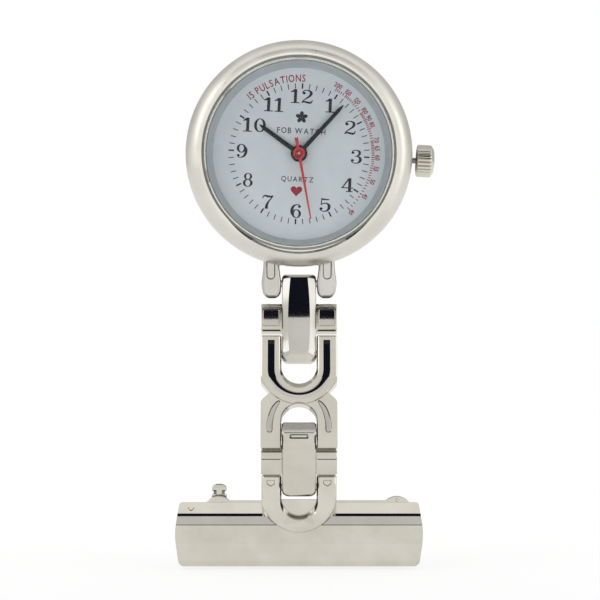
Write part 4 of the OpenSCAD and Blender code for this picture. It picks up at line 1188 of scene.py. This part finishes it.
c_at = on_brooch(CATCH_X, wire_y, wire_z)
CATCH_R, CATCH_SLOT = 1.45, 0.55               # outer radius of the catch, half width of its slot
slot_a, hole_a, foot_a = [degrees(asin(v)) for v in (CATCH_SLOT / CATCH_R, CATCH_SLOT, 1 / CATCH_R)]
cheek = ([(1.0, 1.5), (-1.0, 1.5)] + arc(0, 0, CATCH_R, 90 + foot_a, 270 - slot_a, 30)
         + arc(0, 0, 1.0, 270 - hole_a, -90 + hole_a, 40) + arc(0, 0, CATCH_R, -90 + slot_a, 90 - foot_a, 30))
housing = body_mesh("catch_body", across(cheek, -1.05, -0.5), c_at)
fused(housing, across(cheek, 0.5, 1.05), c_at)
fused(housing, across([(1.0, 1.3), (1.0, 1.5), (-1.0, 1.5), (-1.0, 1.3)], -0.6, 0.6), c_at)
softened(housing, 0.04)
piece(housing, NICKEL, "brooch", "nickel_plate", "catch_housing")

roller = body_mesh("catch_barrel", rod(0.95, -1.05, 1.05, 64, 0.05), c_at)
fused(roller, prism(rounded(bar(-0.35, 0, 0.35, 2.8)), -0.35, 0.35), c_at)
fused(roller, prism(rounded(bar(-1.02, 1.6, 1.02, 2.2), 0.1, 3), -0.35, 0.35), c_at)
fused(roller, prism(rounded(bar(-0.75, 2.1, 0.75, 2.75), 0.05, 2), -0.22, 0.22), c_at)
knob = [(-1.02, 2.6, 0.2), (1.02, 2.6, 0.2), (0.94, 3.3, 0.3), (0.45, 3.58, 0.25), (-0.45, 3.58, 0.25),
        (-0.94, 3.3, 0.3)]
fused(roller, slab(rounded(knob, 0, 4), -0.34, 0.34, 0.18, 0.18), c_at)
cut(roller, rod(0.45, -2, 2, 32), c_at)
cut(roller, prism(bar(-2, -0.45, 2, 0.45), -2, 0), c_at)
for s in (-0.3, 0.0, 0.3):
    cut(roller, prism(bar(s - 0.05, 1.65, s + 0.05, 2.15), 0.29, 1), c_at)
softened(roller, 0.05)
piece(roller, [NICKEL, DIM], "catch", "nickel_plate", "catch_roller", angle=20)
# painted shade: the knob's neck takes the dark nickel
painted(roller, lambda c, n: 2.19 < c[1] - P4[0] - wire_y < 2.8 and (abs(n[2]) > 0.9 or n[1] < -0.7), 1)

WIRE_END, TIP = -9.2, -12.4
wire = lathe([(0, TIP), (0.03, TIP + 0.02), (0.1, TIP + 0.25), (0.32, TIP + 1.2), (0.38, TIP + 2.2),
              (0.4, WIRE_END), (0.4, JOINT_X - 0.5), (0, JOINT_X - 0.5)], 40)
stem = body_mesh("pin_wire", crosswise(wire), on_brooch(0, wire_y, wire_z))
eye = lathe(rounded([(0.33, -0.4), (0.75, -0.4, 0.1), (0.75, 0.4, 0.1), (0.33, 0.4)], 0, 3), 40)
fused(stem, upright(eye), swing_at)
cut(stem, upright(plug(0.33, -2, 2)), swing_at)
piece(stem, STEEL, "brooch_pin_stem", "pin_steel", "pin_stem")

# ---------------------------------------------------------------- CAD nodes that stay, with real finishes
FINISH = (
    (RUBBER, "back_gasket", "stem_seal"), (RING, "movement_ring"), (BRASS, "main_plate", "train_bridge"),
    (BOARD, "circuit_board"), (CHIP, "ic_chip"), (CELL, "quartz_can", "battery"), (COPPER, "coil"),
    (DARK_STEEL, "winding_stem"),
    (WHEEL, "fourth_wheel", "third_wheel", "centre_wheel", "intermediate_wheel", "hour_wheel",
     "minute_wheel"),
    (MOVEMENT_STEEL, "coil_core", "stator", "battery_strap", "movement_screws", "rotor", "cannon_pinion",
     "setting_wheel", "sliding_pinion"),
)
for m, *names in FINISH:
    for name in names:
        for slot in NODES[name].material_slots:
            slot.material = m


# ---------------------------------------------------------------- stage, light and camera
def emitter(name, colour, strength):
    m, nt, b = shader(name)
    nt.nodes.remove(b)
    e = node(nt, "Emission", {"Color": (*colour, 1), "Strength": strength})
    nt.links.new(e.outputs[0], nt.nodes["Material Output"].inputs["Surface"])
    return m


def plane(name, corners, m, camera=True):
    me = bpy.data.meshes.new(name)
    me.from_pydata([Vector(c) * 0.001 for c in corners], [], [(0, 1, 2, 3)])
    ob = bpy.data.objects.new(name, me)
    scene.collection.objects.link(ob)
    ob.data.materials.append(m)
    ob.visible_camera = camera
    return ob


def wp(x, y, z):
    """A stage point given in the watch's axes."""
    return (x, -z, y)


floor_y = min(v[1] for v in node_points("brooch_bar")) - 0.4
floor_m, _, b = shader("floor_paper")
for k, v in {"Roughness": 0.9, "Specular IOR Level": 0.1, "Base Color": (0.30, 0.30, 0.30, 1),
             "Emission Color": (1, 1, 1, 1), "Emission Strength": 0.715}.items():
    b.inputs[k].default_value = v
FAR = 3000                                     # half width of the floor
plane("floor", [wp(x, floor_y, z) for x, z in ((-FAR, FAR), (FAR, FAR), (FAR, -FAR), (-FAR, -FAR))], floor_m)

FLAG = emitter("black_flag", (0.010, 0.012, 0.020), 1.0)
# the edge of the flag lies where the mirror facet turns from dark to light
split = at_link(mid(P1, P2), LEAN_FRONT)((0, -0.8, 1.33))
NEAR, FLAG_W = 85.0, 45.0                      # distance from the facet, half width
(y1, z1), (y2, z2) = [(split[1] + NEAR * sin(e), split[2] + NEAR * cos(e))
                      for e in (2 * LEAN_FRONT, 2 * LEAN_FRONT + radians(32))]
plane("flag_front", [wp(-FLAG_W, y1, z1), wp(FLAG_W, y1, z1), wp(FLAG_W, y2, z2), wp(-FLAG_W, y2, z2)],
      FLAG, False)

world = bpy.data.worlds.new("studio")
scene.world = world
world.use_nodes = True
nt = world.node_tree
sep = node(nt, "SeparateXYZ", {}, {0: node(nt, "TexCoord").outputs["Generated"]})
# 1 straight towards the camera side, 0 behind
back_to_front = node(nt, "MapRange", {"From Min": 1.0, "From Max": -1.0}, {"Value": sep.outputs["Y"]})
ramp = node(nt, "ValToRGB", {}, {0: back_to_front.outputs[0]})
els = ramp.color_ramp.elements
for k, (pos, v) in enumerate(((0.0, 0.55), (0.35, 0.75), (0.5, 1.08), (0.65, 1.12), (0.85, 1.0),
                              (1.0, 0.93))):
    e = els[k] if k < 2 else els.new(pos)
    e.position, e.color = pos, (v, v, v * 0.99, 1)
seen = node(nt, "LightPath").outputs["Is Camera Ray"]
mix = node(nt, "Mix")
mix.data_type = "RGBA"
mix.inputs["B"].default_value = (1, 1, 1, 1)
nt.links.new(seen, mix.inputs["Factor"])
nt.links.new(ramp.outputs["Color"], mix.inputs["A"])
nt.links.new(mix.outputs["Result"], nt.nodes["Background"].inputs["Color"])
nt.nodes["Background"].inputs["Strength"].default_value = 1.0


def softbox(name, at, aim, w, h, radiance):
    li = bpy.data.lights.new(name, "AREA")
    li.shape, li.size, li.size_y = "RECTANGLE", w * 0.001, h * 0.001
    li.energy = radiance * pi * li.size * li.size_y
    ob = bpy.data.objects.new(name, li)
    scene.collection.objects.link(ob)
    ob.location = frame_point(at)
    ob.rotation_euler = (frame_point(aim) - ob.location).to_track_quat("-Z", "Y").to_euler()
    ob.visible_camera = False
    return ob


softbox("key", (-220, 120, 180), (0, -20, 5), 200, 160, 1.0)
softbox("fill", (240, 40, 140), (0, -20, 5), 160, 200, 0.7)
# the satin ring of the case looks into two lamps of its own, one of them in front of the dark flag
flag_y, flag_z, flag_h = (y1 + y2) / 2, (z1 + z2) / 2, dist((y1, z1), (y2, z2))
ring_lamps = [softbox("ring_front", (0, 10, 260), (0, 0, 8), 200, 200, 0.32),
              softbox("ring_top", (0, flag_y - 2, flag_z - 2), (0, 0, 8), 2 * FLAG_W, flag_h, 0.8)]
only = bpy.data.collections.new("satin_ring")
only.objects.link(case)
for lamp in ring_lamps:
    lamp.light_linking.receiver_collection = only

cam = bpy.data.cameras.new("camera")
cam_ob = bpy.data.objects.new("camera", cam)
scene.collection.objects.link(cam_ob)
scene.camera = cam_ob
FRAME_MM, DISTANCE = 79.3, 330.0
cam.sensor_width, cam.lens = 36.0, 36.0 * DISTANCE / FRAME_MM
cam.clip_start, cam.clip_end = 0.01, 20.0
cam_ob.location = frame_point((0.13, -19.36, 5.6 + DISTANCE))
cam_ob.rotation_euler = (pi / 2, 0, 0)
scene.view_settings.view_transform = "Standard"

bpy.context.view_layer.update()
